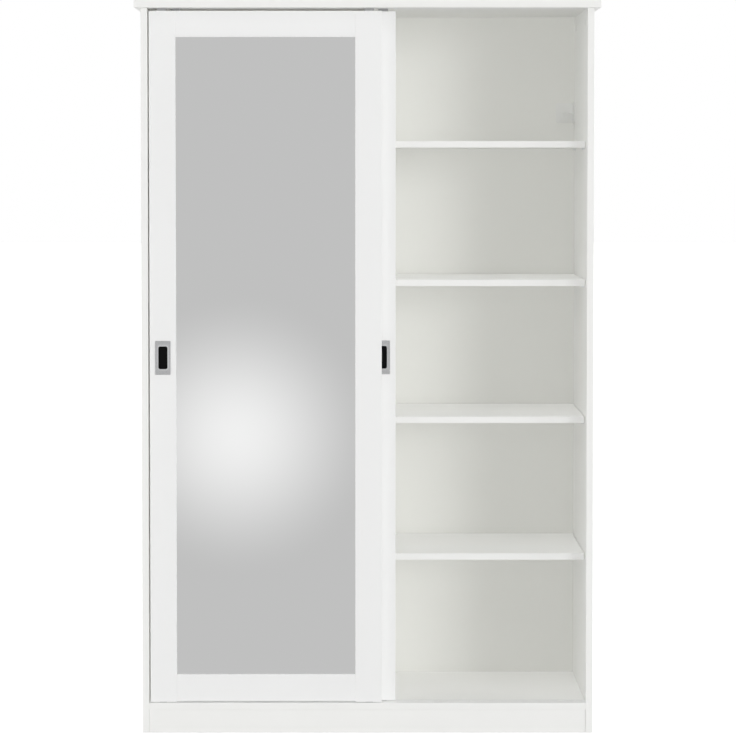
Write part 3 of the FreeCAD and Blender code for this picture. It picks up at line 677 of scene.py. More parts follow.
class Dresser:
    """Gives pieces their material and body, and reports them."""

    def __init__(self, book: PatternBook) -> None:
        """Keep the shared patterns."""
        self.book = book
        self.made: dict[Finish, bpy.types.Material] = {}

    def coat(self, piece: bpy.types.Object, finish: Finish) -> None:
        """Give a piece a finish, whose material is made the first time.

        Args:
            piece: the piece.
            finish: its finish.
        """
        if finish not in self.made:
            self.made[finish] = finish.material(self.book)
        piece.data.materials.clear()
        piece.data.materials.append(self.made[finish])

    def dress_nodes(self, nodes: dict[str, bpy.types.Object]) -> None:
        """Give each shown node of the part its finish.

        Args:
            nodes: the part's nodes by name.
        """
        for finish, names in NODE_FINISHES.items():
            for name in names:
                self.coat(nodes[name], finish)
                log.info("%s: %s", name, finish.name)

    def dress(self, piece: bpy.types.Object, finish: Finish, body: str, replaced: Iterable[str] = ()) -> None:
        """Finish a new piece and put it on its body.

        Args:
            piece: the new piece.
            finish: its finish.
            body: the body that it rides on.
            replaced: the nodes that it stands for.
        """
        self.coat(piece, finish)
        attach(piece, body)
        if replaced:
            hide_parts(*replaced)
        log.info("%s: %s on %s, %d faces", piece.name, finish.name, body, len(piece.data.polygons))

    def seat(
        self,
        pattern: bpy.types.Object,
        name: str,
        finish: Finish,
        place: Vector,
        way: Vector,
        replaced: Iterable[str] = (),
    ) -> None:
        """Copy a piece that is modelled on the origin facing +Z, and dress the copy on the carcass.

        Args:
            pattern: the piece to copy.
            name: the copy's name.
            finish: its finish.
            place: where the origin goes.
            way: where +Z goes.
            replaced: the nodes that the copy stands for.
        """
        turn = way.to_track_quat("Z", "Y").to_matrix().to_4x4()
        self.dress(copy_to(pattern, name, Matrix.Translation(place) @ turn), finish, CARCASS, replaced)


class Workpiece:
    """One new piece while it is modelled with Blender's operators."""

    def __init__(self, name: str) -> None:
        """Take the primitive that was just added, and put its place into its mesh.

        Args:
            name: the piece's name.
        """
        self.object = bpy.context.object
        self.object.name = name
        bpy.ops.object.transform_apply(location=True, rotation=True, scale=True)
        bpy.ops.object.mode_set(mode="EDIT")

    @classmethod
    def block(cls, name: str, low: Vector, high: Vector) -> "Workpiece":
        """Start from a box.

        Args:
            name: the piece's name.
            low: the box's lowest corner.
            high: its highest corner.

        Returns:
            The piece in edit mode.
        """
        clear_selection()
        bpy.ops.mesh.primitive_cube_add(size=1.0, location=(low + high) / 2, scale=high - low)
        return cls(name)

    @classmethod
    def turned(
        cls,
        name: str,
        stations: Sequence[Pair],
        seat: Vector = ORIGIN,
        axis: Vector = Z_AXIS,
        sides: int = 32,
        hollow: bool = False,
    ) -> "Workpiece":
        """Turn a piece from a ring that is drawn along its axis and resized at each station.

        Args:
            name: the piece's name.
            stations: the distance along the axis and the radius at each ring.
            seat: the point on the axis from which the stations are measured.
            axis: the axis, of length one.
            sides: the number of sides.
            hollow: whether the rings close on themselves round a bore.

        Returns:
            The piece in edit mode.
        """
        clear_selection()
        last, radius = stations[0]
        bpy.ops.mesh.primitive_circle_add(
            vertices=sides,
            radius=radius,
            fill_type="NOTHING" if hollow else "NGON",
            location=seat + axis * last,
            rotation=axis.to_track_quat("Z", "Y").to_euler(),
        )
        piece = cls(name)
        bpy.ops.mesh.select_all(action="SELECT")
        for place, wanted in [*stations[1:], *(stations[:1] if hollow else [])]:
            if hollow:
                bpy.ops.mesh.extrude_edges_move(TRANSFORM_OT_translate={"value": axis * (place - last)})
            else:
                piece.extrude(axis * (place - last))
            growth = Vector([1.0 if round(abs(share)) else wanted / radius for share in axis])
            piece.resize(growth, seat + axis * place)
            last, radius = place, wanted
        bpy.ops.mesh.select_all(action="SELECT")
        bpy.ops.mesh.remove_doubles(threshold=RING_MERGE)
        outwards()
        return piece

    def select(self, element: Element, test: Test) -> None:
        """Select what passes a test.

        Args:
            element: what to pick.
            test: takes the middle and the direction of each: a face's or vertex's normal, or an edge's way.
        """
        bpy.ops.mesh.select_mode(type=element.value)
        bpy.ops.mesh.select_all(action="DESELECT")
        mesh = bmesh.from_edit_mesh(self.object.data)
        mesh.normal_update()
        if element is Element.FACE:
            known = [(face, face.calc_center_median(), face.normal) for face in mesh.faces]
        elif element is Element.EDGE:
            ends = [(edge, *(vert.co for vert in edge.verts)) for edge in mesh.edges]
            known = [(edge, (start + end) / 2, (end - start).normalized()) for edge, start, end in ends]
        else:
            known = [(vert, vert.co, vert.normal) for vert in mesh.verts]
        for item, place, direction in known:
            if test(place, direction):
                item.select_set(True)
        mesh.select_flush_mode()
        bmesh.update_edit_mesh(self.object.data)

    def extrude(self, way: Vector) -> None:
        """Extrude the selection along a vector."""
        bpy.ops.mesh.extrude_region_move(TRANSFORM_OT_translate={"value": way})

    def move(self, way: Vector) -> None:
        """Move the selection along a vector."""
        bpy.ops.transform.translate(value=way)

    def resize(self, factor: Vector, centre: Vector) -> None:
        """Resize the selection about a point."""
        bpy.ops.transform.resize(value=factor, center_override=centre)

    def inset(self, thickness: float, depth: float = 0.0) -> None:
        """Inset the selected faces, and push them out by depth."""
        bpy.ops.mesh.inset(thickness=thickness, depth=depth)

    def bevel(self, test: Test, width: float, segments: int) -> None:
        """Round the edges that pass a test."""
        self.select(Element.EDGE, test)
        bpy.ops.mesh.bevel(offset=width, segments=segments, affect="EDGES", offset_type="OFFSET")

    def cut(self, place: Vector, normal: Vector) -> None:
        """Cut the whole mesh along a plane and keep both sides."""
        bpy.ops.mesh.select_all(action="SELECT")
        bpy.ops.mesh.bisect(plane_co=place, plane_no=normal)

    def apply(self, name: str, kind: str, **settings: object) -> None:
        """Apply a modifier.

        Args:
            name: the modifier's name.
            kind: its type.
            settings: its own properties.
        """
        activate(self.object)
        modifier = self.object.modifiers.new(name, kind)
        for setting, value in settings.items():
            setattr(modifier, setting, value)
        bpy.ops.object.modifier_apply(modifier=modifier.name)
        bpy.ops.object.mode_set(mode="EDIT")

    def break_edges(self, width: float, segments: int = 2, angle: float = 40.0) -> None:
        """Round every edge that is sharper than an angle."""
        limit = {"limit_method": "ANGLE", "angle_limit": math.radians(angle)}
        self.apply("Rounding", "BEVEL", width=width, segments=segments, **limit)

    def combine(self, other: "Workpiece", action: Boolean) -> None:
        """Join with another piece or cut it away, and use it up.

        Args:
            other: the other piece.
            action: whether it is joined or cut away.
        """
        activate(other.object)
        self.apply("Joint", "BOOLEAN", operation=action.value, solver="EXACT", object=other.object)
        bpy.data.objects.remove(other.object)

    def done(self) -> bpy.types.Object:
        """Merge what touches, point the faces outwards and shade the piece.

        Returns:
            The finished object.
        """
        bpy.ops.mesh.select_mode(type="FACE")
        bpy.ops.mesh.select_all(action="SELECT")
        bpy.ops.mesh.remove_doubles(threshold=MERGE)
        outwards()
        activate(self.object)
        bpy.ops.object.shade_smooth_by_angle(angle=math.radians(SMOOTH_ANGLE))
        clear_selection()
        return self.object


@dataclass
class Assembly:
    """Pieces that belong together."""

    dresser: Dresser

    def build(self) -> None:
        """Model, place and dress the pieces."""
        raise NotImplementedError


@dataclass
class FingerPull(Assembly):
    """The brushed plate and the black cup let into one door stile."""

    door: str
    opening_width: float = 0.025
    opening_length: float = 0.062
    opening_corner: float = 0.005
    opening_steps: int = 6
    slope_width: float = 0.004
    slope_depth: float = 0.002
    plate_corner: float = 0.002
    plate_steps: int = 4
    plate_edge: float = 0.0005
    cup_wall: float = 0.0015
    cup_depth: float = 0.011
    cup_floor_corner: float = 0.003
    cup_floor_steps: int = 5
    low: Vector = field(init=False)
    high: Vector = field(init=False)

    def __post_init__(self) -> None:
        """Measure the plate's node."""
        self.low, self.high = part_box(self.door + "_pull_plate")

    def plate(self) -> bpy.types.Object:
        """Model the plate: a flat frame whose opening slopes in to the cup.

        Returns:
            The finished plate.
        """
        piece = Workpiece.block(self.door + "_plate", self.low, self.high)
        piece.bevel(along(Y_AXIS), self.plate_corner, self.plate_steps)
        piece.select(Element.FACE, towards(-Y_AXIS))
        piece.inset(self.plate_edge)
        piece.select(Element.EDGE, self.on_outline)
        piece.move(Y_AXIS * self.plate_edge)
        piece.combine(self.opening(), Boolean.CUT)
        return piece.done()

    def on_outline(self, place: Vector, way: Vector) -> bool:
        """Whether an edge lies on the outline of the plate's front and not inside it.

        Args:
            place: the edge's middle.
            way: its direction, which doesn't matter here.

        Returns:
            True on the outline.
        """
        if place.y > self.low.y + NEAR:
            return False
        beside = min(place.x - self.low.x, self.high.x - place.x)
        beyond = min(place.z - self.low.z, self.high.z - place.z)
        if min(beside, beyond) < NEAR:
            return True
        if max(beside, beyond) > self.plate_corner:
            return False
        from_centre = Vector((self.plate_corner - beside, self.plate_corner - beyond)).length
        return from_centre > self.plate_corner - self.plate_edge / 2

    def opening(self) -> Workpiece:
        """Model the tool that cuts the opening and its slope.

        Returns:
            The tool in edit mode.
        """
        centre = (self.low + self.high) / 2
        half = Vector((self.opening_width, 0, self.opening_length)) / 2
        half += Vector((self.slope_width, 0, self.slope_width))
        start = Vector((centre.x, self.low.y - self.slope_depth, centre.z)) - half
        tool = Workpiece.block("plate_opening", start, Vector((centre.x, self.low.y, centre.z)) + half)
        tool.bevel(along(Y_AXIS), self.opening_corner + self.slope_width, self.opening_steps)
        tool.select(Element.FACE, towards(Y_AXIS))
        tool.inset(self.slope_width, self.slope_depth)
        tool.extrude(Y_AXIS * (self.high.y - self.low.y))
        return tool

    def cup(self) -> bpy.types.Object:
        """Model the cup: a deep tray with rounded corners and a rounded floor.

        Returns:
            The finished cup.
        """
        piece = Workpiece.block(self.door + "_cup", *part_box(self.door + "_pull_cup"))
        piece.bevel(along(Y_AXIS), self.opening_corner + self.cup_wall, self.opening_steps)
        piece.select(Element.FACE, towards(-Y_AXIS))
        piece.inset(self.cup_wall)
        piece.extrude(Y_AXIS * (self.cup_depth - self.cup_floor_corner))
        last_reach = last_depth = 0.0
        for step in range(1, self.cup_floor_steps + 1):
            turn = math.pi / 2 * step / self.cup_floor_steps
            reach = self.cup_floor_corner * (1 - math.cos(turn))
            depth = self.cup_floor_corner * math.sin(turn)
            piece.inset(reach - last_reach, last_depth - depth)
            last_reach, last_depth = reach, depth
        return piece.done()

    def build(self) -> None:
        """Model and dress both pieces."""
        body = self.door + "_door"
        self.dresser.dress(self.plate(), BRUSHED, body, [self.door + "_pull_plate"])
        self.dresser.dress(self.cup(), BLACK, body, [self.door + "_pull_cup"])


def dome(turns: Iterable[float], foot: Pair, rise: float, fullness: float = 1.0) -> list[Pair]:
    """The stations of a dome.

    Args:
        turns: the angle above the foot at each ring.
        foot: the distance along the axis and the radius where it starts.
        rise: its height.
        fullness: 1 for an ellipse, and less for a fuller shape.

    Returns:
        The distance along the axis and the radius at each ring.
    """
    angles = [math.radians(turn) for turn in turns]
    return [(foot[0] + rise * math.sin(angle), foot[1] * math.cos(angle) ** fullness) for angle in angles]


@dataclass
class Screw:
    """A domed head with a cross recess, on the origin facing +Z.

    foot, seat and brim are shares of its height and radius, as the other shares are.
    """

    radius: float
    height: float
    foot: Pair = (-0.4, 0.72)
    seat: Pair = (0.0, 0.94)
    brim: Pair = (0.16, 1.0)
    dome_turns: tuple[int, ...] = (18, 38, 56, 72, 84)
    dome_fullness: float = 0.8
    arm_share: float = 0.56
    arm_width_share: float = 0.2
    recess_share: float = 0.75
    recess_taper: float = 0.7
    clear_share: float = 1.5
    sides: int = 28

    def model(self, name: str) -> bpy.types.Object:
        """Model the head.

        Args:
            name: its name.

        Returns:
            The finished head.
        """
        stations = [(self.height * up, self.radius * out) for up, out in (self.foot, self.seat, self.brim)]
        rise = self.height - stations[-1][0]
        stations += dome(self.dome_turns, stations[-1], rise, self.dome_fullness)
        head = Workpiece.turned(name, stations, sides=self.sides)
        head.combine(self.cross(name + "_cross"), Boolean.CUT)
        return head.done()

    def cross(self, name: str) -> Workpiece:
        """Model the tool that cuts the recess.

        Args:
            name: the tool's name.

        Returns:
            The tool in edit mode.
        """
        half = self.radius * self.arm_width_share / 2
        floor = self.height * (1 - self.recess_share)
        top = self.height * self.clear_share
        tool = Workpiece.block(name, Vector((-half, -half, floor)), Vector((half, half, top)))
        for way in (X_AXIS, -X_AXIS, Y_AXIS, -Y_AXIS):
            ahead = towards(way)
            tool.select(
                Element.FACE, lambda place, normal: ahead(place, normal) and place.dot(way) < half + NEAR
            )
            tool.extrude(way * (self.radius * self.arm_share - half))
        tool.select(Element.VERTEX, lambda place, normal: place.z < floor + NEAR)
        tool.resize(Vector((self.recess_taper, self.recess_taper, 1)), Vector((0, 0, floor)))
        outwards()
        return tool


@dataclass
class WallBracket(Assembly):
    """The moulded angle in a top rear corner, its screws, and the cap on its hole."""

    wall: float = 0.003
    corner: float = 0.006
    corner_steps: int = 5
    fillet: float = 0.0035
    fillet_steps: int = 4
    edge: float = 0.0006
    gusset_reach: float = 0.015
    hole_radius: float = 0.00275
    sink_radius: float = 0.0052
    sink_depth: float = 0.0018
    hole_inset: float = 0.03
    screw_spread: float = 0.018
    screw_inset: float = 0.024
    cap_radius: float = 0.005
    cap_foot_share: float = 0.75
    cap_rim: float = 0.0004
    cap_dome: float = 0.0011
    cap_turns: tuple[int, ...] = (25, 48, 66, 80)
    screw: Screw = field(default_factory=lambda: Screw(0.0034, 0.0017))
    low: Vector = field(init=False)
    high: Vector = field(init=False)
    middle: float = field(init=False)

    def __post_init__(self) -> None:
        """Measure the right-hand node."""
        self.low, self.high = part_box("right_wall_bracket")
        self.middle = (self.low.z + self.high.z) / 2

    def cap(self) -> bpy.types.Object:
        """Model the domed cap over the wall screw, seated on the origin and facing +Z.

        Returns:
            The finished cap.
        """
        foot = (-self.sink_depth / 2, self.cap_radius * self.cap_foot_share)
        stations = [foot, (0.0, self.cap_radius), (self.cap_rim, self.cap_radius)]
        stations += dome(self.cap_turns, stations[-1], self.cap_dome)
        return Workpiece.turned("wall_cap", stations).done()

    def angle(self) -> bpy.types.Object:
        """Model the right-hand angle.

        Returns:
            The finished bracket.
        """
        low, high = self.low, self.high
        leg_face = high.x - self.wall
        piece = Workpiece.block("right_bracket", Vector((low.x, high.y - self.wall, low.z)), high)
        piece.cut(Vector((leg_face, high.y, self.middle)), X_AXIS)
        front, across, deep, upright = towards(-Y_AXIS), along(X_AXIS), along(Y_AXIS), along(Z_AXIS)

        def at_web_end(place: Vector, way: Vector) -> bool:
            """Whether an edge runs through the free end of the leg along the back."""
            return deep(place, way) and place.x < low.x + NEAR

        def at_leg_end(place: Vector, way: Vector) -> bool:
            """Whether an edge runs through the free end of the leg along the side."""
            return across(place, way) and place.y < low.y + NEAR

        def in_corner(place: Vector, way: Vector) -> bool:
            """Whether an edge runs up the corner between the two legs."""
            at_leg = abs(place.x - leg_face) < NEAR and low.y + NEAR < place.y < high.y - NEAR
            return at_leg and upright(place, way)

        piece.select(Element.FACE, lambda place, normal: front(place, normal) and place.x > leg_face)
        piece.extrude(Vector((0, low.y - high.y + self.wall, 0)))
        piece.bevel(at_web_end, self.corner, self.corner_steps)
        piece.bevel(at_leg_end, self.corner, self.corner_steps)
        piece.bevel(in_corner, self.fillet, self.fillet_steps)
        piece.combine(self.gusset(), Boolean.ADD)
        piece.break_edges(self.edge)
        piece.combine(self.hole(), Boolean.CUT)
        return piece.done()

    def gusset(self) -> Workpiece:
        """Model the web between the two legs.

        Returns:
            The web in edit mode.
        """
        half = self.wall / 2
        left = self.high.x - self.wall - self.gusset_reach
        start = Vector((left, self.low.y + self.edge * 2, self.middle - half))
        end = Vector((self.high.x - half, self.high.y - half, self.middle + half))
        web = Workpiece.block("bracket_web", start, end)
        web.select(Element.VERTEX, lambda place, normal: max(place.x - start.x, place.y - start.y) < NEAR)
        web.move(Vector((self.gusset_reach - self.edge, 0, 0)))
        return web

    def hole(self) -> Workpiece:
        """Model the tool that cuts the countersunk hole.

        Returns:
            The tool in edit mode.
        """
        face = Vector((self.high.x - self.hole_inset, self.high.y - self.wall, self.middle))
        over = self.wall / 2
        sink = [(-over, self.sink_radius), (0.0, self.sink_radius)]
        bore = [(self.sink_depth, self.hole_radius), (self.wall + over, self.hole_radius)]
        return Workpiece.turned("bracket_hole", sink + bore, face, Y_AXIS)

    def build(self) -> None:
        """Model the bracket, mirror it, screw both on and cap their wall holes."""
        right = self.angle()
        left = copy_to(right, "left_bracket", Matrix.Scale(-1, 4, X_AXIS))
        activate(left)
        bpy.ops.object.mode_set(mode="EDIT")
        outwards()
        clear_selection()
        self.dresser.dress(right, PLASTIC, CARCASS, ["right_wall_bracket"])
        self.dresser.dress(left, PLASTIC, CARCASS, ["left_wall_bracket"])
        head, cap = self.screw.model("bracket_screw"), self.cap()
        depth = self.low.y + self.screw_inset
        for name, side in (("left", -1), ("right", 1)):
            for label, rise in (("lower", -self.screw_spread), ("upper", self.screw_spread)):
                place = Vector((side * (self.high.x - self.wall), depth, self.middle + rise))
                self.dresser.seat(head, f"{name}_bracket_{label}_screw", STEEL, place, X_AXIS * -side)
            hole = Vector((side * (self.high.x - self.hole_inset), self.high.y - self.wall, self.middle))
            self.dresser.seat(cap, f"{name}_wall_cap", PLASTIC, hole, -Y_AXIS)
        bpy.data.batch_remove((head, cap))


@dataclass
class ShelfPins(Assembly):
    """The turned pins that carry the shelves, each with a collar against the panel.

    nose is the rounded end, in shares of tip back from the end and in from the radius.
    """

    radius: float = 0.0025
    inside: float = 0.008
    outside: float = 0.008
    collar_radius: float = 0.0041
    collar_width: float = 0.0011
    collar_edge: float = 0.0002
    collar_step: float = 0.0001
    tip: float = 0.0006
    nose: Profile = ((1.0, 0.0), (0.3, 0.4), (0.0, 1.2))
    depths: Pair = (-0.1715, 0.2315)
    drop: float = 0.0026
    divider_face: float = 0.009
    side_face: float = 0.597
    sides: int = 24

    def model(self) -> bpy.types.Object:
        """Model one pin, seated on the origin and pointing +Z.

        Returns:
            The finished pin.
        """
        stations = [
            (-self.inside, self.radius - self.tip),
            (-self.inside + self.tip, self.radius),
            (-self.collar_step, self.radius),
            (0.0, self.collar_radius - self.collar_edge),
            (self.collar_edge, self.collar_radius),
            (self.collar_width - self.collar_edge, self.collar_radius),
            (self.collar_width, self.collar_radius - self.collar_edge),
            (self.collar_width + self.collar_step, self.radius),
            *((self.outside - self.tip * back, self.radius - self.tip * fall) for back, fall in self.nose),
        ]
        return Workpiece.turned("pin", stations, sides=self.sides).done()

    def build(self) -> None:
        """Place four pins under every shelf."""
        pin = self.model()
        bays = {shelf: (self.divider_face, self.side_face) for shelf in BAY_SHELVES}
        bays["hat_shelf"] = (-self.side_face, -self.divider_face)
        for shelf, faces in bays.items():
            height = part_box(shelf)[0].z - self.drop
            for side, face, way in zip(("left", "right"), faces, (X_AXIS, -X_AXIS)):
                for end, depth in zip(("front", "rear"), self.depths):
                    place = Vector((face, depth, height))
                    self.dresser.seat(pin, f"{shelf}_{side}_{end}_pin", STEEL, place, way, ["shelf_pins"])
        bpy.data.objects.remove(pin)


@dataclass
class CamFittings(Assembly):
    """The cam locks with their cross slots, and the caps over those inside the bays."""

    radius: float = 0.0075
    depth: float = 0.013
    edge: float = 0.0005
    lock_sides: int = 36
    side_face: float = 0.597
    side_height: float = 1.946
    bottom_face: float = 0.066
    bottom_reach: float = 0.563
    depths: Pair = (-0.1815, 0.2185)
    cap_radius: float = 0.009
    cap_height: float = 0.0014
    cap_rim_share: float = 0.4
    cap_roll: float = 0.0012
    cap_crown: float = 0.004
    cap_power: int = 3
    cap_turns: tuple[int, ...] = (20, 40, 60, 78)
    slot: Screw = field(
        default_factory=lambda: Screw(0.0075, 0.003, arm_share=0.6, arm_width_share=0.24, recess_share=1.6)
    )

    def lock(self) -> bpy.types.Object:
        """Model one lock facing +Z, its face on the origin.

        Returns:
            The finished lock.
        """
        stations = [(-self.depth, self.radius), (-self.edge, self.radius), (0.0, self.radius - self.edge)]
        piece = Workpiece.turned("cam", stations, sides=self.lock_sides)
        piece.combine(self.slot.cross("cam_cross"), Boolean.CUT)
        return piece.done()

    def cap(self) -> bpy.types.Object:
        """Model one cap facing +Z, seated on the origin, whose top rolls in and falls away at its rim.

        Returns:
            The finished cap.
        """
        stations = [(0.0, self.cap_radius), (self.cap_height * self.cap_rim_share, self.cap_radius)]
        for turn in self.cap_turns:
            angle = math.radians(turn)
            rise = self.cap_height * (self.cap_rim_share + (1 - self.cap_rim_share) * math.sin(angle))
            roll = self.cap_roll * (1 - math.cos(angle))
            crown = self.cap_crown * (turn / self.cap_turns[-1]) ** self.cap_power
            stations.append((rise, self.cap_radius - roll - crown))
        return Workpiece.turned("cap", stations).done()

    def build(self) -> None:
        """Place every lock, and a cap on each one that opens into a bay."""
        lock, cap = self.lock(), self.cap()
        for name, side in (("left", -1), ("right", 1)):
            for end, depth in zip(("front", "rear"), self.depths):
                place, way = Vector((side * self.side_face, depth, self.side_height)), X_AXIS * -side
                self.dresser.seat(lock, f"{name}_{end}_top_cam", CAST, place, way, ["cam_locks"])
                self.dresser.seat(cap, f"{name}_{end}_cam_cap", PLASTIC, place, way)
                under = Vector((side * self.bottom_reach, depth, self.bottom_face))
                self.dresser.seat(lock, f"{name}_{end}_bottom_cam", CAST, under, -Z_AXIS, ["cam_locks"])
        bpy.data.batch_remove((lock, cap))


@dataclass
class HangingRail(Assembly):
    """The clothes rail and the sockets that carry its ends.

    The socket's profiles hold distances and steps in radius: flange_edge from the wall, cup_foot from the
    flange, and cup_bead and bore_mouth back from the open end.
    """

    wall: float = 0.0012
    lip: float = 0.0003
    socket_base: float = 0.003
    socket_depth: float = 0.014
    cup_radius: float = 0.0147
    bore_radius: float = 0.0127
    flange_edge: Profile = (
        (0.0, 0.0), (0.00165, 0.0), (0.0024, -0.0003), (0.00285, -0.0009), (0.003, -0.0016),
    )
    cup_foot: Profile = ((0.0002, 0.0004), (0.0008, 0.0))
    cup_bead: Profile = ((0.0022, -0.0001), (0.0018, 0.0004), (0.0006, 0.0004), (0.0, -0.0004))
    bore_mouth: Profile = ((0.0, 0.0004), (0.0005, 0.0))
    screw_share: float = 0.55
    screw: Screw = field(default_factory=lambda: Screw(0.0022, 0.0009))
    sides: int = 64

    def tube(self) -> bpy.types.Object:
        """Model the tube, its ends broken a little.

        Returns:
            The finished tube.
        """
        low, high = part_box("clothes_rail")
        radius, length = (high.z - low.z) / 2, high.x - low.x
        inner = radius - self.wall
        start = [(0.0, inner + self.lip), (0.0, radius - self.lip), (self.lip, radius)]
        end = [(length - self.lip, radius), (length, radius - self.lip), (length, inner + self.lip)]
        stations = [*start, *end, (length - self.lip, inner), (self.lip, inner)]
        seat = Vector((low.x, (low.y + high.y) / 2, (low.z + high.z) / 2))
        return Workpiece.turned("hanging_tube", stations, seat, X_AXIS, self.sides, hollow=True).done()

    def socket(self, flange: float) -> bpy.types.Object:
        """Model one socket on the origin facing +Z: a flange with a rounded edge, and a cup with a bead.

        Args:
            flange: the flange's radius.

        Returns:
            The finished socket.
        """
        stations = [(up, flange + step) for up, step in self.flange_edge]
        stations += [(self.socket_base + up, self.cup_radius + step) for up, step in self.cup_foot]
        stations += [(self.socket_depth - back, self.cup_radius + step) for back, step in self.cup_bead]
        stations += [(self.socket_depth - back, self.bore_radius + step) for back, step in self.bore_mouth]
        stations.append((self.socket_base, self.bore_radius))
        return Workpiece.turned("socket", stations, sides=self.sides).done()

    def build(self) -> None:
        """Model and dress the tube, the sockets and their locking screws."""
        self.dresser.dress(self.tube(), CHROME, CARCASS, ["clothes_rail"])
        low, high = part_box("rail_sockets")
        socket, screw = self.socket((high.z - low.z) / 2), self.screw.model("socket_screw")
        for name, face, way in (("left", low.x, X_AXIS), ("right", high.x, -X_AXIS)):
            place = Vector((face, (low.y + high.y) / 2, (low.z + high.z) / 2))
            self.dresser.seat(socket, f"{name}_socket", CHROME, place, way, ["rail_sockets"])
            under = place + way * (self.socket_depth * self.screw_share) - Z_AXIS * self.cup_radius
            self.dresser.seat(screw, f"{name}_socket_lock", STEEL, under, -Z_AXIS)
        bpy.data.batch_remove((socket, screw))


@dataclass
class DoorRollers(Assembly):
    """The wheels in the feet of the doors: crowned tread, sunk web and hub.

    tread is its profile, in shares of half the width out from the middle and of the crown in from the radius.
    """

    bore: float = 0.0021
    bore_edge: float = 0.0002
    hub: float = 0.0045
    web_outer: float = 0.0086
    web_depth: float = 0.0009
    web_slope: float = 0.0005
    crown: float = 0.0004
    tread: Profile = ((1.0, 2.2), (0.8, 1.0), (0.4, 0.25), (0.0, 0.0))
    sides: int = 48

    def wheel(self, name: str, node: str) -> bpy.types.Object:
        """Model one wheel where its node is.

        Args:
            name: the piece's name.
            node: the node that it stands for.

        Returns:
            The finished wheel.
        """
        low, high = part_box(node)
        radius, half = (high.z - low.z) / 2, (high.y - low.y) / 2
        web = half - self.web_depth
        side = [
            (half - self.bore_edge, self.bore), (half, self.bore + self.bore_edge), (half, self.hub),
            (web, self.hub + self.web_slope), (web, self.web_outer), (half, self.web_outer + self.web_slope),
            *((half * share, radius - self.crown * fall) for share, fall in self.tread),
        ]
        stations = [(-place, ring) for place, ring in side] + side[-2::-1]
        return Workpiece.turned(name, stations, (low + high) / 2, Y_AXIS, self.sides, hollow=True).done()

    def build(self) -> None:
        """Model and dress the four wheels."""
        for place in ("front_left", "front_right", "rear_left", "rear_right"):
            body, node = place + "_roller", place + "_wheel"
            self.dresser.dress(self.wheel(body, node), WHEEL, body, [node])


@dataclass
class TrackScrews(Assembly):
    """The low screw heads along the land between the two channels of each track."""

    depth: float = -0.2595
    bottom_face: float = 0.085
    top_face: float = 1.979
    places: tuple[float, ...] = (-0.56, -0.28, 0.0, 0.28, 0.56)
    screw: Screw = field(default_factory=lambda: Screw(0.0031, 0.0007))

    def build(self) -> None:
        """Place the screws of both tracks."""
        head = self.screw.model("track_screw")
        for name, height, way in (("bottom", self.bottom_face, Z_AXIS), ("top", self.top_face, -Z_AXIS)):
            for index, across in enumerate(self.places, 1):
                place = Vector((across, self.depth, height))
                self.dresser.seat(head, f"{name}_track_screw_{index}", STEEL, place, way)
        bpy.data.objects.remove(head)


@dataclass
class FloorGlides(Assembly):
    """The pads under the body, with rounded soles."""

    corner: float = 0.0045
    corner_steps: int = 5
    sole: float = 0.001
    sole_steps: int = 3
    centres: tuple[float, ...] = (-0.606, 0.0, 0.606)
    front: Pair = (-0.2475, -0.2175)
    rear_start: float = 0.1775
    half_width: float = 0.007
    height: float = 0.003

    def model(self) -> bpy.types.Object:
        """Model the pad that lies at the front left.

        Returns:
            The finished pad.
        """
        low = Vector((self.centres[0] - self.half_width, self.front[0], 0.0))
        high = Vector((self.centres[0] + self.half_width, self.front[1], self.height))
        piece = Workpiece.block("pad", low, high)
        piece.bevel(along(Z_AXIS), self.corner, self.corner_steps)
        piece.bevel(lambda place, way: place.z < NEAR, self.sole, self.sole_steps)
        return piece.done()

    def build(self) -> None:
        """Place the six pads."""
        pad = self.model()
        for side, centre in zip(("left", "middle", "right"), self.centres):
            for end, start in (("front", self.front[0]), ("rear", self.rear_start)):
                way = Vector((centre - self.centres[0], start - self.front[0], 0.0))
                copy = copy_to(pad, f"{side}_{end}_glide", Matrix.Translation(way))
                self.dresser.dress(copy, NYLON, CARCASS, ["floor_glides"])
        bpy.data.objects.remove(pad)


@dataclass(frozen=True)
class Lamp:
    """A soft lamp far away.

    turn is its angle from straight in front, to the right, rise its angle above the floor and spread its
    width. strength is the light that it puts on a white that faces it, where 1 is full. A lamp without
    shadows stands for the light that a room throws back.
    """

    name: str
    turn: float
    rise: float
    strength: float
    spread: float
    shadows: bool = True


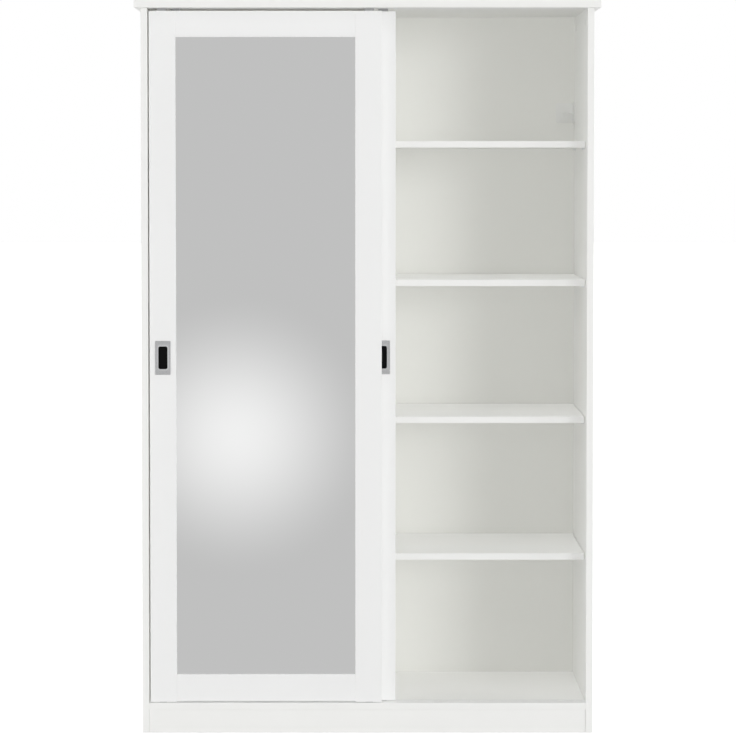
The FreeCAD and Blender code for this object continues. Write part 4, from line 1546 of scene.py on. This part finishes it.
@dataclass
class Studio:
    """The camera, the lamps, the world and the floor."""

    lens: float = 164.955
    camera_place: Triple = (0.0, -9.4544, 1.5452)
    camera_tilt: float = 2.7628025
    shift_x: float = 0.0007
    shift_y: float = -0.05
    view_reach: float = 500.0
    fill: float = 0.12
    lights: tuple[Lamp, ...] = (
        Lamp("front key", 31, 4, 0.245, 18),
        Lamp("right front fill", 65, 3, 0.245, 26),
        Lamp("left front fill", -57, 8, 0.105, 26),
        Lamp("upper fill", 0, 50, 0.135, 30),
        Lamp("room fill", -30, 40, 0.285, 20, shadows=False),
        Lamp("top glow", 0, 90, 0.072, 20, shadows=False),
        Lamp("right fill", 97, 0, 0.38, 50),
        Lamp("left fill", -97, 0, 0.5, 50),
        Lamp("rear fill", 180, 0, 0.8, 50),
        Lamp("rear top fill", 180, 68, 0.25, 24),
    )
    lamp_distance: float = 6.0
    floor_size: float = 120.0
    floor_colour: Triple = (0.5, 0.5, 0.5)
    floor_roughness: float = 0.9
    floor_lift: float = 0.74
    mirror_grey: float = 0.555
    glow_peak: float = 0.917
    glow_way: Triple = (-0.0385, -0.99615, -0.07885)
    glow_reach: float = 0.0425
    room_white: float = 0.82
    room_bounds: Pair = (0.4, 0.8)

    def camera(self) -> None:
        """Set the camera at the photograph's angle."""
        clear_selection()
        turn = (math.pi / 2 - math.radians(self.camera_tilt), 0, 0)
        bpy.ops.object.camera_add(location=self.camera_place, rotation=turn)
        camera = bpy.context.object
        camera.name = "camera"
        camera.data.lens = self.lens
        camera.data.shift_x = self.shift_x
        camera.data.shift_y = self.shift_y
        camera.data.clip_end = self.view_reach
        bpy.context.scene.camera = camera

    def lamps(self) -> None:
        """Set the soft lamps, brightest at the sides and behind, where few reach. Mirrors don't show them."""
        for lamp in self.lights:
            clear_selection()
            turn, rise = math.radians(lamp.turn), math.radians(lamp.rise)
            way = Vector((math.sin(turn) * math.cos(rise), -math.cos(turn) * math.cos(rise), math.sin(rise)))
            facing = way.to_track_quat("Z", "Y").to_euler()
            bpy.ops.object.light_add(type="SUN", location=way * self.lamp_distance, rotation=facing)
            placed = bpy.context.object
            placed.name = lamp.name
            placed.data.energy = lamp.strength * math.pi
            placed.data.angle = math.radians(lamp.spread)
            placed.data.use_shadow = lamp.shadows
            placed.visible_glossy = False

    def world(self) -> None:
        """White behind the object, a plain fill on it, and a grey room with one soft glow in its mirrors."""
        world = bpy.data.worlds.new("studio")
        world.use_nodes = True
        bpy.context.scene.world = world
        sketch = Sketch(world.node_tree)
        path = sketch.add("LightPath")
        direction = sketch.add("TexCoord").outputs["Generated"]
        smooth = {"interpolation_type": "SMOOTHSTEP"}
        from_glow = sketch.vector("DISTANCE", {0: direction, 1: self.glow_way}, "Value")
        glow = sketch.remap(from_glow, (0.0, self.glow_reach), (1.0, 0.0), **smooth)
        aside = sketch.vector("DISTANCE", {0: direction, 1: -Y_AXIS}, "Value")
        room = sketch.remap(aside, self.room_bounds, (self.mirror_grey, self.room_white), **smooth)
        level = sketch.math("MULTIPLY_ADD", glow, self.glow_peak - self.mirror_grey, room)
        colours = (level, opaque((self.fill,) * 3), opaque(WHITE))
        shown, fill, white = (sketch.add("Background", {"Color": colour}).outputs[0] for colour in colours)
        mirrored = sketch.math("MAXIMUM", path.outputs["Is Glossy Ray"], path.outputs["Is Transmission Ray"])
        light = sketch.add("MixShader", {0: mirrored, 1: fill, 2: shown}).outputs[0]
        whole = sketch.add("MixShader", {0: path.outputs["Is Camera Ray"], 1: light, 2: white})
        sketch.add("OutputWorld", {"Surface": whole.outputs[0]})

    def floor(self) -> None:
        """Lay a plain pale floor that keeps the object's shadow and lets the low lamps by."""
        clear_selection()
        bpy.ops.mesh.primitive_plane_add(size=self.floor_size, location=ORIGIN)
        floor = bpy.context.object
        floor.name = "floor"
        floor.visible_glossy = False
        floor.visible_shadow = False
        made = bpy.data.materials.new("floor")
        made.use_nodes = True
        sketch = Sketch(made.node_tree)
        seen = sketch.add("LightPath").outputs["Is Camera Ray"]
        shader = sketch.add("BsdfPrincipled", {
            "Base Color": opaque(self.floor_colour),
            "Roughness": self.floor_roughness,
            "Specular IOR Level": 0.0,
            "Emission Color": opaque(WHITE),
            "Emission Strength": sketch.math("MULTIPLY", seen, self.floor_lift),
        })
        sketch.add("OutputMaterial", {"Surface": shader.outputs[0]})
        floor.data.materials.append(made)

    def build(self) -> None:
        """Set up everything round the object."""
        self.camera()
        self.lamps()
        self.world()
        self.floor()
        bpy.context.scene.view_settings.view_transform = "Standard"


def main() -> None:
    """Build the studio and every piece."""
    logging.basicConfig(level=logging.INFO, format="%(name)s: %(message)s")
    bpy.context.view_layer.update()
    Studio().build()
    dresser = Dresser(PatternBook())
    dresser.dress_nodes(frame["nodes"])
    for door in ("front", "rear"):
        FingerPull(dresser, door).build()
    for assembly in (WallBracket, ShelfPins, CamFittings, HangingRail, DoorRollers, TrackScrews, FloorGlides):
        assembly(dresser).build()


if __name__ == "__main__":
    main()
